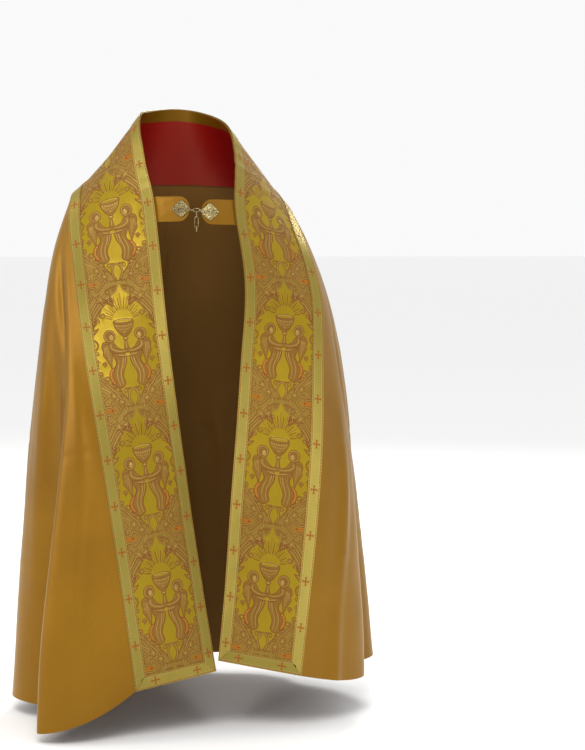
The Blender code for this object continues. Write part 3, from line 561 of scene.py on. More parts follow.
def draw_angel(art):
    """One of the two who hold the chalice, kneeling, seen from the side."""
    wing = [(41, 44), (48, 41), (55, 45), (58, 54), (55, 63), (57, 70), (50, 82), (45, 92), (41, 101)]
    wing += [(39, 88), (36, 74), (37, 58)]
    art.shape(wing, rim=1.2)
    art.shape([(57, 84), (62, 90), (57, 91), (58, 96), (52, 92), (51, 86)], rim=0.8)
    for k in range(4):
        x, y = 43 + 3.0 * k, 51 + 1.2 * k
        art.stroke(LIGHT, [(x, y), (x + 1.2, y + 12), (41.5 + 2.6 * k, 90 - 8 * k)], 1.6, taper=0.6)
        art.stroke(OUTLINE, [(x + 2, y), (x + 3, y + 12), (43.5 + 2.6 * k, 87 - 8 * k)], 0.7)
    art.stroke(OUTLINE, bent([(41, 50), (48, 47), (55, 50)]), 0.9)
    robe = [(10, 67), (22, 60), (33, 64), (34, 75), (29, 87), (33, 97), (42, 103), (48, 113), (47, 126)]
    robe += [(40, 137), (29, 144), (19, 142), (14, 134), (17, 122), (14, 108), (6, 93), (4, 80)]
    art.shape(robe, rim=1.3)
    hem = [(34, 98), (43, 102), (49, 112), (48, 125), (40, 136), (36, 133), (41, 124), (42, 113), (37, 105)]
    art.shape(hem, thread=INLAY, rim=1.2)
    for k in range(6):
        turn = math.radians(-58 + 22 * k)
        art.disc(LIGHT, 33.5 + 11.6 * math.cos(turn), 117 + 15.5 * math.sin(turn), 1.4, sides=6)
    for thread, width, points in (
        (LIGHT, 2.0, [(12, 82), (16, 98), (22, 112), (22, 128), (19, 138)]),
        (LIGHT, 1.6, [(22, 84), (26, 98), (31, 110), (31, 126), (27, 138)]),
        (LIGHT, 1.4, [(7, 80), (9, 92), (15, 105)]),
        (OUTLINE, 1.0, [(9, 76), (12, 92), (18, 106), (20, 122), (16, 136)]),
        (OUTLINE, 1.0, [(16, 73), (18, 90), (25, 106), (26, 124), (22, 140)]),
        (OUTLINE, 0.9, [(21, 71), (22, 86), (28, 99), (35, 112), (34, 126), (29, 141)]),
        (OUTLINE, 0.9, [(27, 71), (27, 84), (31, 97), (38, 108), (38, 122), (34, 134)]),
        (OUTLINE, 0.8, [(31, 68), (31, 78), (27, 88)]),
        (OUTLINE, 0.7, [(5, 84), (9, 96), (15, 110)]),
    ):
        art.stroke(thread, bent(points, steps=2), width, taper=0.5)
    arm = [(31, 43), (40, 46), (42, 56), (36, 66), (24, 70), (8, 70)]
    arm += [(0, 69), (0, 62), (10, 62), (20, 57), (25, 50)]
    art.shape(arm, rim=1.1)
    art.stroke(LIGHT, bent([(35, 49), (36, 56), (29, 62), (16, 66), (5, 66)]), 2.0, taper=0.4)
    art.stroke(OUTLINE, bent([(29, 48), (31, 54), (24, 60), (12, 63)]), 0.8)
    art.stroke(OUTLINE, bent([(38, 60), (30, 67), (20, 70), (9, 70)]), 0.9)
    art.stroke(LIGHT, bent([(22, 73), (12, 75), (0, 76)]), 1.6)
    art.stroke(OUTLINE, bent([(24, 75), (13, 77.6), (0, 78.4)]), 0.9)
    art.disc(OUTLINE, 36, 31, 14.2, sides=18)
    art.disc(FIGURE, 36, 31, 13.1, sides=16)
    art.ring(LIGHT, 36, 31, 11.2, 1.1, sides=14)
    for near, far in zip(oval(36, 31, 8.4, None, 10), oval(36, 31, 10.2, None, 10)):
        art.stroke(OUTLINE, [near, far], 0.8)
    art.disc(OUTLINE, 34.6, 32.4, 7.6, 8.8, sides=14)
    art.disc(LIGHT, 33.2, 33.4, 5.2, 6.6, sides=12)
    hair = [(30, 25), (36, 23), (41, 27), (42, 34), (40, 41), (37, 38), (38, 32), (34, 28)]
    art.shape(hair, rim=0.7, closed_steps=2)
    art.stroke(OUTLINE, [(34, 26), (39, 30), (40, 36)], 0.7)


def draw_between(art):
    """The vase, heart and flower on the crosses' axis, between two angels."""
    x = CROSS[0]
    for turn in (0, 1):
        sign = 1 - 2 * turn
        art.curl(x - sign * 9, 6, 5.2, 0 if turn else 180, 1.1 * sign, width=1.6)
    vase = [(x, 8), (x - 14, 13), (x - 22, 11), (x - 17, 18), (x - 10, 24), (x - 4, 30)]
    vase += [(x, 37), (x + 4, 30), (x + 10, 24), (x + 17, 18), (x + 22, 11), (x + 14, 13)]
    art.shape(vase, rim=1.2)
    art.disc(LIGHT, x, 20, 4.6, 3.0, sides=8)
    art.stroke(LIGHT, [(x - 14, 15.5), (x - 6, 22)], 1.5, taper=0.5)
    for thread, width in ((OUTLINE, 4.2), (FIGURE, 2.4)):
        for side in (-1, 1):
            ribbon = [(0, 38), (8, 36), (15, 44), (12, 54), (0, 62), (-6, 66)]
            art.stroke(thread, bent([(x + side * a, b) for a, b in ribbon]), width)
    art.curl(x - 11, 64, 5.0, -60, 1.1, width=1.6)
    art.curl(x + 11, 64, 5.0, 240, -1.1, width=1.6)
    heart = [(0, 43), (-6, 42), (-9, 47), (-5, 53), (0, 57), (5, 53), (9, 47), (6, 42)]
    art.shape([(x + a, b) for a, b in heart], thread=GROUND, rim=0.8)
    for k in range(-3, 4):
        art.bead(x + 4.3 * k, 76 + 0.8 * k * k, 2.5, 1.6)
    art.leaf(x, 88, 180, 17, lobes=5)
    art.leaf(x, 90, 0, 15, lobes=5)
    art.disc(OUTLINE, x, 103, 3.2, sides=8)


def draw_pendant(art):
    """Below the angels: ribbon curls, an oval and a leaf that points down."""
    art.curl(16, 151, 6.2, 200, 1.25, width=2.0, lead=[(0, 158), (5, 149), (9, 146)])
    art.curl(27, 160, 5.0, 170, 1.2, width=1.8, lead=[(15, 171), (19, 164)])
    art.disc(OUTLINE, 0, 166, 14.2, 20.6, sides=18)
    art.disc(FIGURE, 0, 166, 13.0, 19.4, sides=18)
    art.ring(LIGHT, 0, 166, 11.8, 1.3, 18.0, sides=16)
    art.shape(whole([(0, 149), (7, 157), (9.6, 167), (6, 176), (0, 184)]), thread=GROUND, rim=1.0)
    art.curl(13, 188, 5.6, 150, -1.2, width=2.0, lead=[(3, 186), (7, 182)])
    art.leaf(0, 196, 0, 21, lobes=5)
    art.disc(LIGHT, 0, 194, 2.6, sides=8)


def draw_frame(art):
    """Vine leaves, grapes and scrolls between the bright ground and the fields, on one side."""
    for lift in (0, REPEAT_TALL):
        art.curl(27, -66 + lift, 7.0, 250, 1.2, width=2.6, lead=[(5, -78 + lift), (14, -78 + lift)])
        art.curl(12, -72 + lift, 5.0, 90, -1.1, width=2.0)
        art.leaf(45, -52 + lift, 60, 19)
        art.leaf(30, -54 + lift, -25, 14)
        art.grapes(27, -50 + lift, -22, rows=(3, 4, 3, 2, 1))
        art.grapes(43, -44 + lift, 8, rows=(3, 3, 2), size=2.3)
    art.vine([(44, -38), (52, -30), (60, -21), (67, -11), (74, 0)], 7.6, 1.5)
    art.vine([(56, -44), (64, -34), (72, -23), (79, -12)], 6.4, 1.5)
    art.curl(45, -16, 7.2, -20, 1.2, width=2.6, lead=[(47, -31), (51, -24)])
    art.curl(57, -6, 5.4, -40, 1.1, width=2.0)
    art.grapes(66, -8, 14, rows=(3, 4, 3, 2, 1), size=2.5)
    art.vine([(80, 106), (71, 118), (60, 128), (52, 140), (41, 150), (33, 163), (26, 178)], 5.6, 1.1)
    art.vine([(80, 118), (70, 128), (62, 138)], 4.4, 1.1)
    art.curl(68, 109, 6.2, 60, -1.2, width=2.3)
    art.curl(54, 122, 7.4, 60, -1.2, width=2.6)
    art.curl(37, 140, 6.6, 60, -1.2, width=2.4)
    art.grapes(47, 129, -30, rows=(2, 3, 2, 1), size=2.3)
    art.grapes(31, 146, -35, rows=(2, 2, 1), size=2.1)
    art.leaf(45, 158, 75, 13)
    art.leaf(30, 172, 20, 12)
    art.curl(22, 186, 6.0, 300, 1.1, width=2.2)


def draw_repeat():
    """The right half of a repeat, back to front."""
    art = Drawing()
    draw_ground(art)
    for lift in (0, -REPEAT_TALL):
        draw_field_edge(art, (CROSS[0], CROSS[1] + lift))
    draw_frame(art)
    for lift in (0, -REPEAT_TALL):
        draw_cross(art, (CROSS[0], CROSS[1] + lift))
    draw_between(art)
    draw_chalice(art)
    draw_angel(art)
    draw_pendant(art)
    return art.shapes


# ---------------------------------------------------------------- finishes
def shade(red, green, blue, tone=0.40):
    """A colour seen under these lamps, from 0-255, as the shader's own colour."""
    return tuple(tone * ((c / 255 + 0.055) / 1.055) ** 2.4 for c in (red, green, blue)) + (1.0,)


def add_node(tree, kind, inputs):
    """A shader node whose inputs hold constants, or follow another node's output."""
    node = tree.nodes.new(f"ShaderNode{kind}")
    for name, value in inputs.items():
        if isinstance(value, bpy.types.NodeSocket):
            tree.links.new(value, node.inputs[name])
        else:
            node.inputs[name].default_value = value
    return node


def add_ramp(tree, driver, low, dark, high, light):
    """A colour between two, by a value."""
    ramp = add_node(tree, "ValToRGB", {"Fac": driver})
    for element, place, colour in zip(ramp.color_ramp.elements, (low, high), (dark, light)):
        element.position = place
        element.color = colour
    return ramp.outputs["Color"]


def new_material(name):
    """A material and its empty node tree."""
    made = bpy.data.materials.new(name)
    made.use_nodes = True
    made.node_tree.nodes.clear()
    return made, made.node_tree


def finish_material(tree, inputs):
    """The surface, once its inputs are made."""
    surface = add_node(tree, "BsdfPrincipled", inputs)
    add_node(tree, "OutputMaterial", {"Surface": surface.outputs["BSDF"]})


def cloth_finish(name, dark, light, rough, sheen, weave, bump, metal=0.0, sway=3.0, streak=0.35):
    """Threads with a sheen: uneven colour over a fine weave, on a UV layer in metres."""
    made, tree = new_material(name)
    dark, light = shade(*dark), shade(*light)
    uv = add_node(tree, "UVMap", {})
    uv.uv_map = "flat"
    body = add_node(tree, "TexCoord", {}).outputs["Object"]
    soft = add_node(tree, "TexNoise", {"Scale": sway, "Detail": 3.0, "Vector": body})
    stretch = add_node(tree, "Mapping", {"Scale": (900.0, 45.0, 1.0), "Vector": uv.outputs["UV"]})
    stretched = stretch.outputs["Vector"]
    threads = add_node(tree, "TexNoise", {"Scale": 1.0, "Detail": 2.0, "Vector": stretched})
    shares = {"Factor": streak, "A": soft.outputs["Fac"], "B": threads.outputs["Fac"]}
    mixed = add_node(tree, "Mix", shares)
    colour = add_ramp(tree, mixed.outputs["Result"], 0.30, dark, 0.70, light)
    lie = {"Scale": (1000.0, 1000.0, 1.0), "Rotation": (0, 0, TWILL_TURN), "Vector": uv.outputs["UV"]}
    turn = add_node(tree, "Mapping", lie).outputs["Vector"]
    lines = {"Scale": MM_WAVE / weave, "Distortion": 1.2, "Detail": 1.0, "Vector": turn}
    twill = add_node(tree, "TexWave", lines).outputs["Fac"]
    raised = add_node(tree, "Bump", {"Strength": bump, "Distance": 0.0006, "Height": twill})
    look = {
        "Base Color": colour,
        "Roughness": rough,
        "Metallic": metal,
        "Specular IOR Level": 0.38,
        "Specular Tint": (1.0, 0.86, 0.52, 1.0),
        "Sheen Weight": sheen * 0.35,
        "Sheen Roughness": 0.35,
        "Sheen Tint": light,
        "Normal": raised.outputs["Normal"],
    }
    finish_material(tree, look)
    return made


def metal_finish(name, dark, light, rough=0.32):
    """Old cast metal: dull and dark in its hollows."""
    made, tree = new_material(name)
    body = add_node(tree, "TexCoord", {}).outputs["Object"]
    grime = add_node(tree, "TexNoise", {"Scale": 420.0, "Detail": 5.0, "Vector": body}).outputs["Fac"]
    dark, light = (shade(*colour, OLD_TONE) for colour in (dark, light))
    colour = add_ramp(tree, grime, 0.36, dark, 0.58, light)
    spread = add_node(tree, "MapRange", {"To Min": rough + 0.18, "To Max": rough - 0.06, "Value": grime})
    raised = add_node(tree, "Bump", {"Strength": 0.25, "Distance": 0.0002, "Height": grime})
    look = {
        "Base Color": colour,
        "Metallic": 0.92,
        "Roughness": spread.outputs["Result"],
        "Normal": raised.outputs["Normal"],
    }
    finish_material(tree, look)
    return made


def floor_finish():
    """A pale matt floor with the faintest mottling."""
    made, tree = new_material("studio floor")
    grain = add_node(tree, "TexNoise", {"Scale": 1.5}).outputs["Fac"]
    colour = add_ramp(tree, grain, 0.0, shade(244, 244, 244, 1), 1.0, shade(250, 250, 250, 1))
    finish_material(tree, {"Base Color": colour, "Roughness": 0.9, "Specular IOR Level": 0.1})
    return made


TWILL_TURN = math.radians(32)
MM_WAVE = 0.314159  # a wave texture's scale for lines 1 mm apart, on UVs in mm
OLD_TONE = 0.8
# Each cloth: its darker and lighter colour, then roughness, sheen, weave in mm, relief and metal.
CLOTHS = {
    "gold satin": ((178, 120, 18), (212, 152, 30), 0.36, 0.0, 0.8, 0.05, 0.38, 3.0, 0.25),
    "gold satin reverse": ((150, 100, 36), (170, 118, 46), 0.62, 0.15, 0.8, 0.12),
    "lemon ground": ((198, 160, 18), (234, 198, 40), 0.32, 0.2, 0.7, 0.10, 0.35),
    "tan field": ((180, 140, 48), (208, 166, 66), 0.42, 0.2, 1.1, 0.25, 0.25),
    "bronze figure": ((172, 120, 40), (206, 152, 58), 0.44, 0.2, 1.5, 0.5, 0.2),
    "rust outline": ((142, 62, 2), (168, 80, 6), 0.6, 0.0, 0.9, 0.2),
    "pale light": ((216, 172, 76), (244, 206, 108), 0.36, 0.2, 0.9, 0.3, 0.3),
    "orange inlay": ((206, 118, 6), (232, 142, 14), 0.42, 0.0, 0.9, 0.15),
    "braid gold": ((188, 164, 62), (224, 202, 96), 0.34, 0.2, 1.6, 0.5, 0.45),
    "braid orange": ((186, 92, 4), (214, 120, 10), 0.45, 0.0, 0.8, 0.2),
    "braid edge": ((206, 188, 108), (236, 220, 146), 0.34, 0.2, 0.9, 0.3, 0.4),
    "brocade backing": ((168, 130, 50), (184, 146, 60), 0.6, 0.1, 0.9, 0.12),
    "red lining": ((196, 12, 14), (226, 30, 30), 0.40, 0.25, 0.7, 0.08),
    "fringe cord": ((142, 122, 74), (206, 188, 136), 0.42, 0.3, 0.8, 0.3, 0.0, 160.0),
}
FINISHES = [cloth_finish(name, *row) for name, row in CLOTHS.items()]
SATIN_OUT, SATIN_IN = FINISHES[:2]
THREADS, BRAID = FINISHES[2:8], FINISHES[8:11]
BACKING, RED, CORD = FINISHES[11:]
OLD_SILVER = metal_finish("old silver gold", (96, 82, 50), (222, 206, 150))
OLD_DARK = metal_finish("old bronze", (66, 56, 38), (190, 172, 122))


# ---------------------------------------------------------------- making meshes
SHARP = math.radians(50)  # a sharper edge than this isn't smoothed


def add_mesh(name, points, faces, materials, slot, nodes, which=None, uv=None, body="cloak"):
    """A mesh object that rides a body and stands for the CAD nodes it is given."""
    name = f"{name}_look" if name in bpy.data.objects else name
    data = bpy.data.meshes.new(name)
    data.from_pydata(np.asarray(points, float).tolist(), [], [tuple(int(i) for i in f) for f in faces])
    for made in materials:
        data.materials.append(made)
    if which is not None:
        data.polygons.foreach_set("material_index", np.asarray(which, np.int32))
    layer = data.uv_layers.new(name="flat")
    corners = np.empty(len(data.loops), np.int32)
    data.loops.foreach_get("vertex_index", corners)
    places = np.asarray(points, float)[:, [0, 2]] if uv is None else np.asarray(uv, float)
    layer.data.foreach_set("uv", places[corners].ravel())
    data.shade_smooth()
    data.set_sharp_from_angle(angle=SHARP)
    obj = bpy.data.objects.new(name, data)
    bpy.context.scene.collection.objects.link(obj)
    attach(obj, body)
    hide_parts(*nodes)
    return obj


def closed(front, back, faces, which, back_which, rim_which):
    """Points, faces and materials of a wall from its front, with a back and a rim to match."""
    count = len(front)
    faces = np.asarray(faces)
    edges = {}
    for face in faces.tolist():
        for a, b in zip(face, face[1:] + face[:1]):
            if (b, a) in edges:
                del edges[(b, a)]
            else:
                edges[(a, b)] = True
    sides = [(b, a, a + count, b + count) for a, b in edges]
    all_faces = faces.tolist() + (faces[:, ::-1] + count).tolist() + sides
    which = [*which, *[back_which] * len(faces), *[rim_which] * len(edges)]
    return np.concatenate([front, back]), all_faces, which


def grid_faces(rows, columns):
    """Faces that look outward where rows run down and columns run from the right to the left."""
    first = (np.arange(rows - 1)[:, None] * columns + np.arange(columns - 1)[None, :]).ravel()
    return np.stack([first, first + 1, first + columns + 1, first + columns], axis=1)


def check_turn(points, faces, normals):
    """The same faces, turned over if they look away from the normals."""
    a, b, c = (points[faces[:, k]] for k in (0, 1, 2))
    agree = (np.cross(b - a, c - a) * normals[faces[:, 0]]).sum()
    return faces if agree > 0 else faces[:, ::-1]


def wall(name, points, normals, thick, lift, uv, finishes, slot, nodes):
    """A closed wall from a grid: its front is lifted off the points, its back is `thick` behind."""
    rows, columns = points.shape[:2]
    flat, out = points.reshape(-1, 3), normals.reshape(-1, 3)
    front = flat + out * lift
    faces = check_turn(front, grid_faces(rows, columns), out)
    back = flat + out * (lift - thick)
    points, faces, which = closed(front, back, faces, [0] * len(faces), len(finishes) - 1, 0)
    uv = np.asarray(uv, float).reshape(-1, 2)
    return add_mesh(name, points, faces, finishes, slot, nodes, which, np.concatenate([uv, uv]))


def unevenness(points, size, seed):
    """Smooth noise at each point, about -1 to 1, from a few waves in uneven directions."""
    rng = np.random.default_rng(seed)
    value = np.zeros(points.shape[:-1])
    for _ in range(9):
        way = unit(rng.normal(size=3)) * 2 * math.pi / (size * rng.uniform(0.7, 1.9))
        start = rng.uniform(0, 6.28)
        value = value + np.sin(points @ way + start + 0.6 * np.sin(points @ (way[[1, 2, 0]] * 0.7)))
    return value / 4.2


# ---------------------------------------------------------------- creases in the cloth
# Each crease starts at one place (share round, level down) and ends at another. It is a ridge (+)
# or a trough (-), in mm, and `wide` metres across. It fades at both its ends.
CREASE_COLUMNS = ("share", "level", "to_share", "to_level", "height", "wide")
CREASES = (
    (-0.90, 0.02, -0.87, 0.52, -3.5, 0.020),
    (-0.80, 0.10, -0.66, 0.86, 3.0, 0.026),
    (-0.95, 0.30, -0.93, 0.95, 3.0, 0.022),
    (-0.86, 0.45, -0.80, 1.00, -3.6, 0.024),
    (-0.70, 0.05, -0.63, 0.60, -3.0, 0.024),
    (-0.58, 0.16, -0.52, 0.74, 2.4, 0.022),
    (-0.48, 0.03, -0.43, 0.50, -2.6, 0.022),
    (-0.39, 0.30, -0.31, 0.98, 3.4, 0.026),
    (-0.27, 0.44, -0.25, 1.00, -3.2, 0.024),
    (-0.13, 0.40, -0.11, 0.92, 2.4, 0.022),
    (-0.06, 0.52, -0.04, 0.86, -1.8, 0.018),
    (0.08, 0.46, 0.10, 1.00, 2.8, 0.024),
    (0.19, 0.40, 0.22, 0.90, -2.8, 0.024),
    (0.33, 0.34, 0.36, 1.00, 3.4, 0.026),
    (0.43, 0.05, 0.47, 0.62, -3.2, 0.022),
    (0.54, 0.20, 0.58, 0.95, 3.0, 0.024),
    (0.68, 0.02, 0.66, 0.48, -3.0, 0.020),
    (0.77, 0.12, 0.74, 0.88, 3.4, 0.024),
    (0.86, 0.04, 0.84, 0.56, -3.0, 0.018),
    (0.92, 0.34, 0.90, 1.00, 3.2, 0.020),
)
# Storage creases, straight and faint: a share or a level, then mm and width.
FOLDED_ACROSS = ((0.505, -0.5, 0.006), (0.742, 0.4, 0.006))
FOLDED_DOWN = ((-0.33, 0.4, 0.006), (0.31, -0.4, 0.006))
CREASE_GROWTH = 2.4  # all the heights above are multiplied by this


def creased(share, level, points):
    """How far the cloth stands out for its creases, in metres. It is 0 on every seam and edge."""
    out = np.zeros(share.shape)
    round_it = 0.55 + 0.75 * level
    for crease in (dict(zip(CREASE_COLUMNS, row)) for row in CREASES):
        wave = 0.012 * np.sin(9 * level + 13 * crease["share"])
        run = (level - crease["level"]) / (crease["to_level"] - crease["level"])
        centre = crease["share"] + (crease["to_share"] - crease["share"]) * np.clip(run, 0, 1) + wave
        away = (share - centre) * round_it / crease["wide"]
        last = 1.0 if crease["to_level"] > 0.97 else smooth((1.05 - run) / 0.4)
        ends = smooth((run + 0.02) / 0.35) * last
        uneven = 0.75 + 0.25 * np.sin(17 * level + 31 * crease["share"])
        out += crease["height"] * np.exp(-(away**2)) * ends * uneven
    for at, height, wide in FOLDED_ACROSS:
        out += height * np.exp(-(((level - at) * 1.2 / wide) ** 2))
    for at, height, wide in FOLDED_DOWN:
        out += height * np.exp(-(((share - at) * 1.1 / wide) ** 2)) * smooth((level - 0.35) / 0.1)
    out += 0.75 * unevenness(points, 0.20, 3) + 0.10 * unevenness(points, 0.07, 4)
    ripples = np.sin(level * 150 + 6 * np.sin(level * 21))
    pucker = np.exp(-((share * 1.2 / 0.05) ** 2)) * ripples * smooth((level - 0.55) / 0.4)
    out += 0.5 * pucker
    at_sides = smooth((1 - np.abs(share)) * round_it / 0.04) * smooth(level * 1.2 / 0.04)
    edge = at_sides * smooth(np.abs(share) * 1.2 / 0.02)
    return CREASE_GROWTH * out * edge / 1000


def band_waves(along, share, points):
    """The orphrey's own unevenness, in metres, 0 where it meets the cloak."""
    out = 0.8 * unevenness(points, 0.13, 11) + 0.30 * unevenness(points, 0.045, 12)
    at_morse = np.exp(-(((np.abs(along) - 0.30) / 0.05) ** 2))
    strain = at_morse * np.sin(np.abs(along) * 210 + share * 5) * (1 - share)
    free = smooth((1 - share) / 0.3) * smooth((np.abs(along) - 0.02) / 0.08)
    return (out + 0.7 * strain) * free / 1000


def seam_direction(along):
    """The shared direction of cloak and orphrey where they are sewn."""
    side, way = np.sign(along) + (along == 0), np.abs(along)
    shoulder = np.where(side < 0, SHOULDER["right"], SHOULDER["left"])
    end = np.where(side < 0, FRONT_END["right"], FRONT_END["left"])
    on_yoke = way <= shoulder
    share = np.where(on_yoke, way / shoulder, 1.0) * side
    level = np.where(on_yoke, 0.0, (way - shoulder) / (end - shoulder))
    return unit(unit(body_normal(share, np.clip(level, 0, 1))) + band_normal(along, 1.0))


def band_at(along, share, side=None):
    """Points and directions on an orphrey as it lies, creases included."""
    along, share = np.broadcast_arrays(np.asarray(along, float), np.asarray(share, float))
    points, normals = band_point(along, share), band_normal(along, share)
    near = smooth((share - 0.9) / 0.1)[..., None]
    if near.max() > 0:
        places = np.linspace(-FRONT_END["right"], FRONT_END["left"], 900)
        seams = seam_direction(places)
        seam = np.stack([np.interp(along, places, seams[:, k]) for k in range(3)], axis=-1)
        normals = unit(normals * (1 - near) + seam * near)
    points = points + normals * band_waves(along, share, points)[..., None]
    if side:
        middle = np.abs(along) < GAP
        points = points.copy()
        points[..., 0] = np.where(middle, SIDES[side] * GAP / 2, points[..., 0])
        normals = normals.copy()
        normals[..., 0] = np.where(middle, 0, normals[..., 0])
    return points, unit(normals)


# ---------------------------------------------------------------- the cloak
BODY_COLUMNS, BODY_ROWS = 151, 131
SEAM_GAP = 0.00004  # from each half to the back seam
BACK_DROP = length_of(body_point(0.0, np.linspace(0, 1, 60)))


def make_body(side):
    """Half of the satin cloak, with its creases."""
    dense = np.linspace(0, 1, 600)
    run = run_along(body_point(SIDES[side] * dense, 1.0))
    shares = np.interp(np.linspace(0, run[-1], BODY_COLUMNS), run, dense) * SIDES[side]
    share, level = np.meshgrid(shares, np.linspace(0, 1, BODY_ROWS))
    points, normals = body_point(share, level), body_normal(share, level)
    shoulder, end = SHOULDER[side], FRONT_END[side]
    yoke = seam_direction(share * shoulder)
    front = seam_direction(SIDES[side] * (shoulder + (end - shoulder) * level))
    to_yoke = smooth(1 - level * 1.2 / 0.03)[..., None]
    to_front = smooth(1 - (1 - np.abs(share)) * (0.5 + 0.8 * level) / 0.03)[..., None]
    normals = unit(normals * (1 - to_yoke) + yoke * to_yoke)
    normals = unit(normals * (1 - to_front) + front * to_front)
    points = points + normals * creased(share, level, points)[..., None]
    points[:, 0, 0] = SIDES[side] * SEAM_GAP
    normals[:, 0, 0] = 0
    normals = unit(normals)
    uv = np.stack([share * (0.4 + 0.8 * level), level * BACK_DROP], axis=-1)
    finishes = [SATIN_OUT, SATIN_IN]
    obj = wall(f"cloak_{side}", points, normals, SATIN, 0.0, uv, finishes, "satin", [f"body_{side}"])


# ---------------------------------------------------------------- weaving figures into a mesh
WIDTH = 0.200  # an orphrey's usual width
GALLOON_SHARE = GALLOON_WIDE / WIDTH
SEAM_SHARE = 1 - 2 * GAP / WIDTH
FACE_GAP = 0.0004  # between a brocade's face and its wall
EDGE_LONG = 8.0  # mm: longer edges of a figure are cut up, so that they follow the cloth


def covers(line, places):
    """Which places are inside a closed line, however it winds."""
    ahead = np.roll(line, -1, axis=0)
    x, y = places[:, :1], places[:, 1:]
    rises = (line[:, 1] <= y) & (ahead[:, 1] > y)
    falls = (line[:, 1] > y) & (ahead[:, 1] <= y)
    wide, tall = ahead[:, 0] - line[:, 0], ahead[:, 1] - line[:, 1]
    left = wide * (y - line[:, 1]) - (x - line[:, 0]) * tall
    return ((rises & (left > 0)).sum(axis=1) - (falls & (left < 0)).sum(axis=1)) != 0


def woven(shapes, x_from, x_to, y_from, y_to, step, base, mirrored=True):
    """Triangles over a rectangle, with the thread that shows in each: the last that covers it."""
    points, edges, drawn = [], [], []
    for thread, line in shapes:
        if line[:, 0].max() <= x_from or line[:, 0].min() >= x_to:
            continue
        if line[:, 1].max() <= y_from or line[:, 1].min() >= y_to:
            continue
        line = np.asarray(line, float)
        drawn.append((thread, line))
        fine = []
        for here, there in zip(line, np.roll(line, -1, axis=0)):
            parts = max(1, math.ceil(np.linalg.norm(there - here) / EDGE_LONG))
            fine.extend(here + (there - here) * k / parts for k in range(parts))
        first, count = len(points), len(fine)
        edges.extend((first + k, first + (k + 1) % count) for k in range(count))
        points.extend(Vector((round(float(x), 3), round(float(y), 3))) for x, y in fine)
    across, down = round((x_to - x_from) / step), round((y_to - y_from) / step)
    for x in np.linspace(x_from, x_to, across + 1):
        points.extend(Vector((float(x), float(y))) for y in np.linspace(y_from, y_to, down + 1))
    first = len(points)
    corners = ((x_from, y_from), (x_to, y_from), (x_to, y_to), (x_from, y_to))
    points.extend(Vector(corner) for corner in corners)
    edges += [(first + k, first + (k + 1) % 4) for k in range(4)]
    met = geometry.delaunay_2d_cdt(points, edges, [], 0, 1e-3, False)
    found = np.array([(v.x, v.y) for v in met[0]])
    triangles = np.array([tuple(t) for t in met[2]])
    middle = found[triangles].mean(axis=1)
    inside = ((middle > (x_from, y_from)) & (middle < (x_to, y_to))).all(axis=1)
    triangles, middle = triangles[inside], middle[inside]
    which = np.full(len(triangles), base)
    for thread, line in drawn:
        low, high = line.min(axis=0), line.max(axis=0)
        near = np.flatnonzero(((middle > low) & (middle < high)).all(axis=1))
        which[near[covers(line, middle[near])]] = thread
    if mirrored:
        count = len(found)
        found = np.concatenate([found, found * [-1, 1]])
        triangles = np.concatenate([triangles, triangles[:, ::-1] + count])
        which = np.concatenate([which, which])
    return found, triangles, which


def repeated(tile, offsets):
    """One mesh from a tile at each of the offsets."""
    found, triangles, which = tile
    points = np.concatenate([found + np.asarray(offset) for offset in offsets])
    faces = np.concatenate([triangles + len(found) * k for k in range(len(offsets))])
    return points, faces, np.concatenate([which] * len(offsets))


def trimmed(points, faces, which, clamp):
    """The mesh cut to a region: what lies outside is moved to its edge, or dropped."""
    moved = clamp(points)
    kept = (np.abs(moved - points).sum(axis=1) < 1e-9)[faces].any(axis=1)
    faces, which = faces[kept], which[kept]
    _, first, back = np.unique(np.round(moved, 2), axis=0, return_index=True, return_inverse=True)
    back = back.ravel()
    moved, faces = moved[first], back[faces]
    a, b, c = (moved[faces[:, k]] for k in (0, 1, 2))
    area = np.abs((b - a)[:, 0] * (c - a)[:, 1] - (b - a)[:, 1] * (c - a)[:, 0])
    apart = (faces[:, 0] != faces[:, 1]) & (faces[:, 1] != faces[:, 2]) & (faces[:, 0] != faces[:, 2])
    good = apart & (area > 2e-4)
    faces, which = faces[good], which[good]
    _, first = np.unique(np.sort(faces, axis=1), axis=0, return_index=True)
    faces, which = faces[np.sort(first)], which[np.sort(first)]
    used = np.unique(faces)
    renumber = np.full(len(moved), -1)
    renumber[used] = np.arange(len(used))
    return moved[used], renumber[faces], which


PROUD = np.array([0.0, 0.00005, 0.00034, 0.00008, 0.00040, 0.00022])  # m, by thread


def proud(count, faces, which):
    """How far each point stands out: the mean of the threads round it."""
    height, times = np.zeros(count), np.zeros(count)
    for k in range(3):
        np.add.at(height, faces[:, k], PROUD[which])
        np.add.at(times, faces[:, k], 1)
    return height / np.maximum(times, 1)


REPEAT = draw_repeat()
TILE = woven(REPEAT, 0.0, REPEAT_WIDE / 2, REPEAT_TOP, REPEAT_TOP + REPEAT_TALL, 10.0, FIELD)
# The first chalice's rim down each front, and how far apart the rims are.
FIRST_RIM = {"right": 0.338, "left": 0.367}
RIM_PITCH = {"right": 0.288, "left": 0.282}
ORPHREY_ROWS, ORPHREY_COLUMNS = 29, 241
SEAM_HALF = 0.00006  # from an orphrey's edge to the seam
FACE_HALF = 78  # half the woven face's width, in mm
FACE_STARTS, FACE_STOPS = 0.0012, 0.006  # from the nape and from the foot


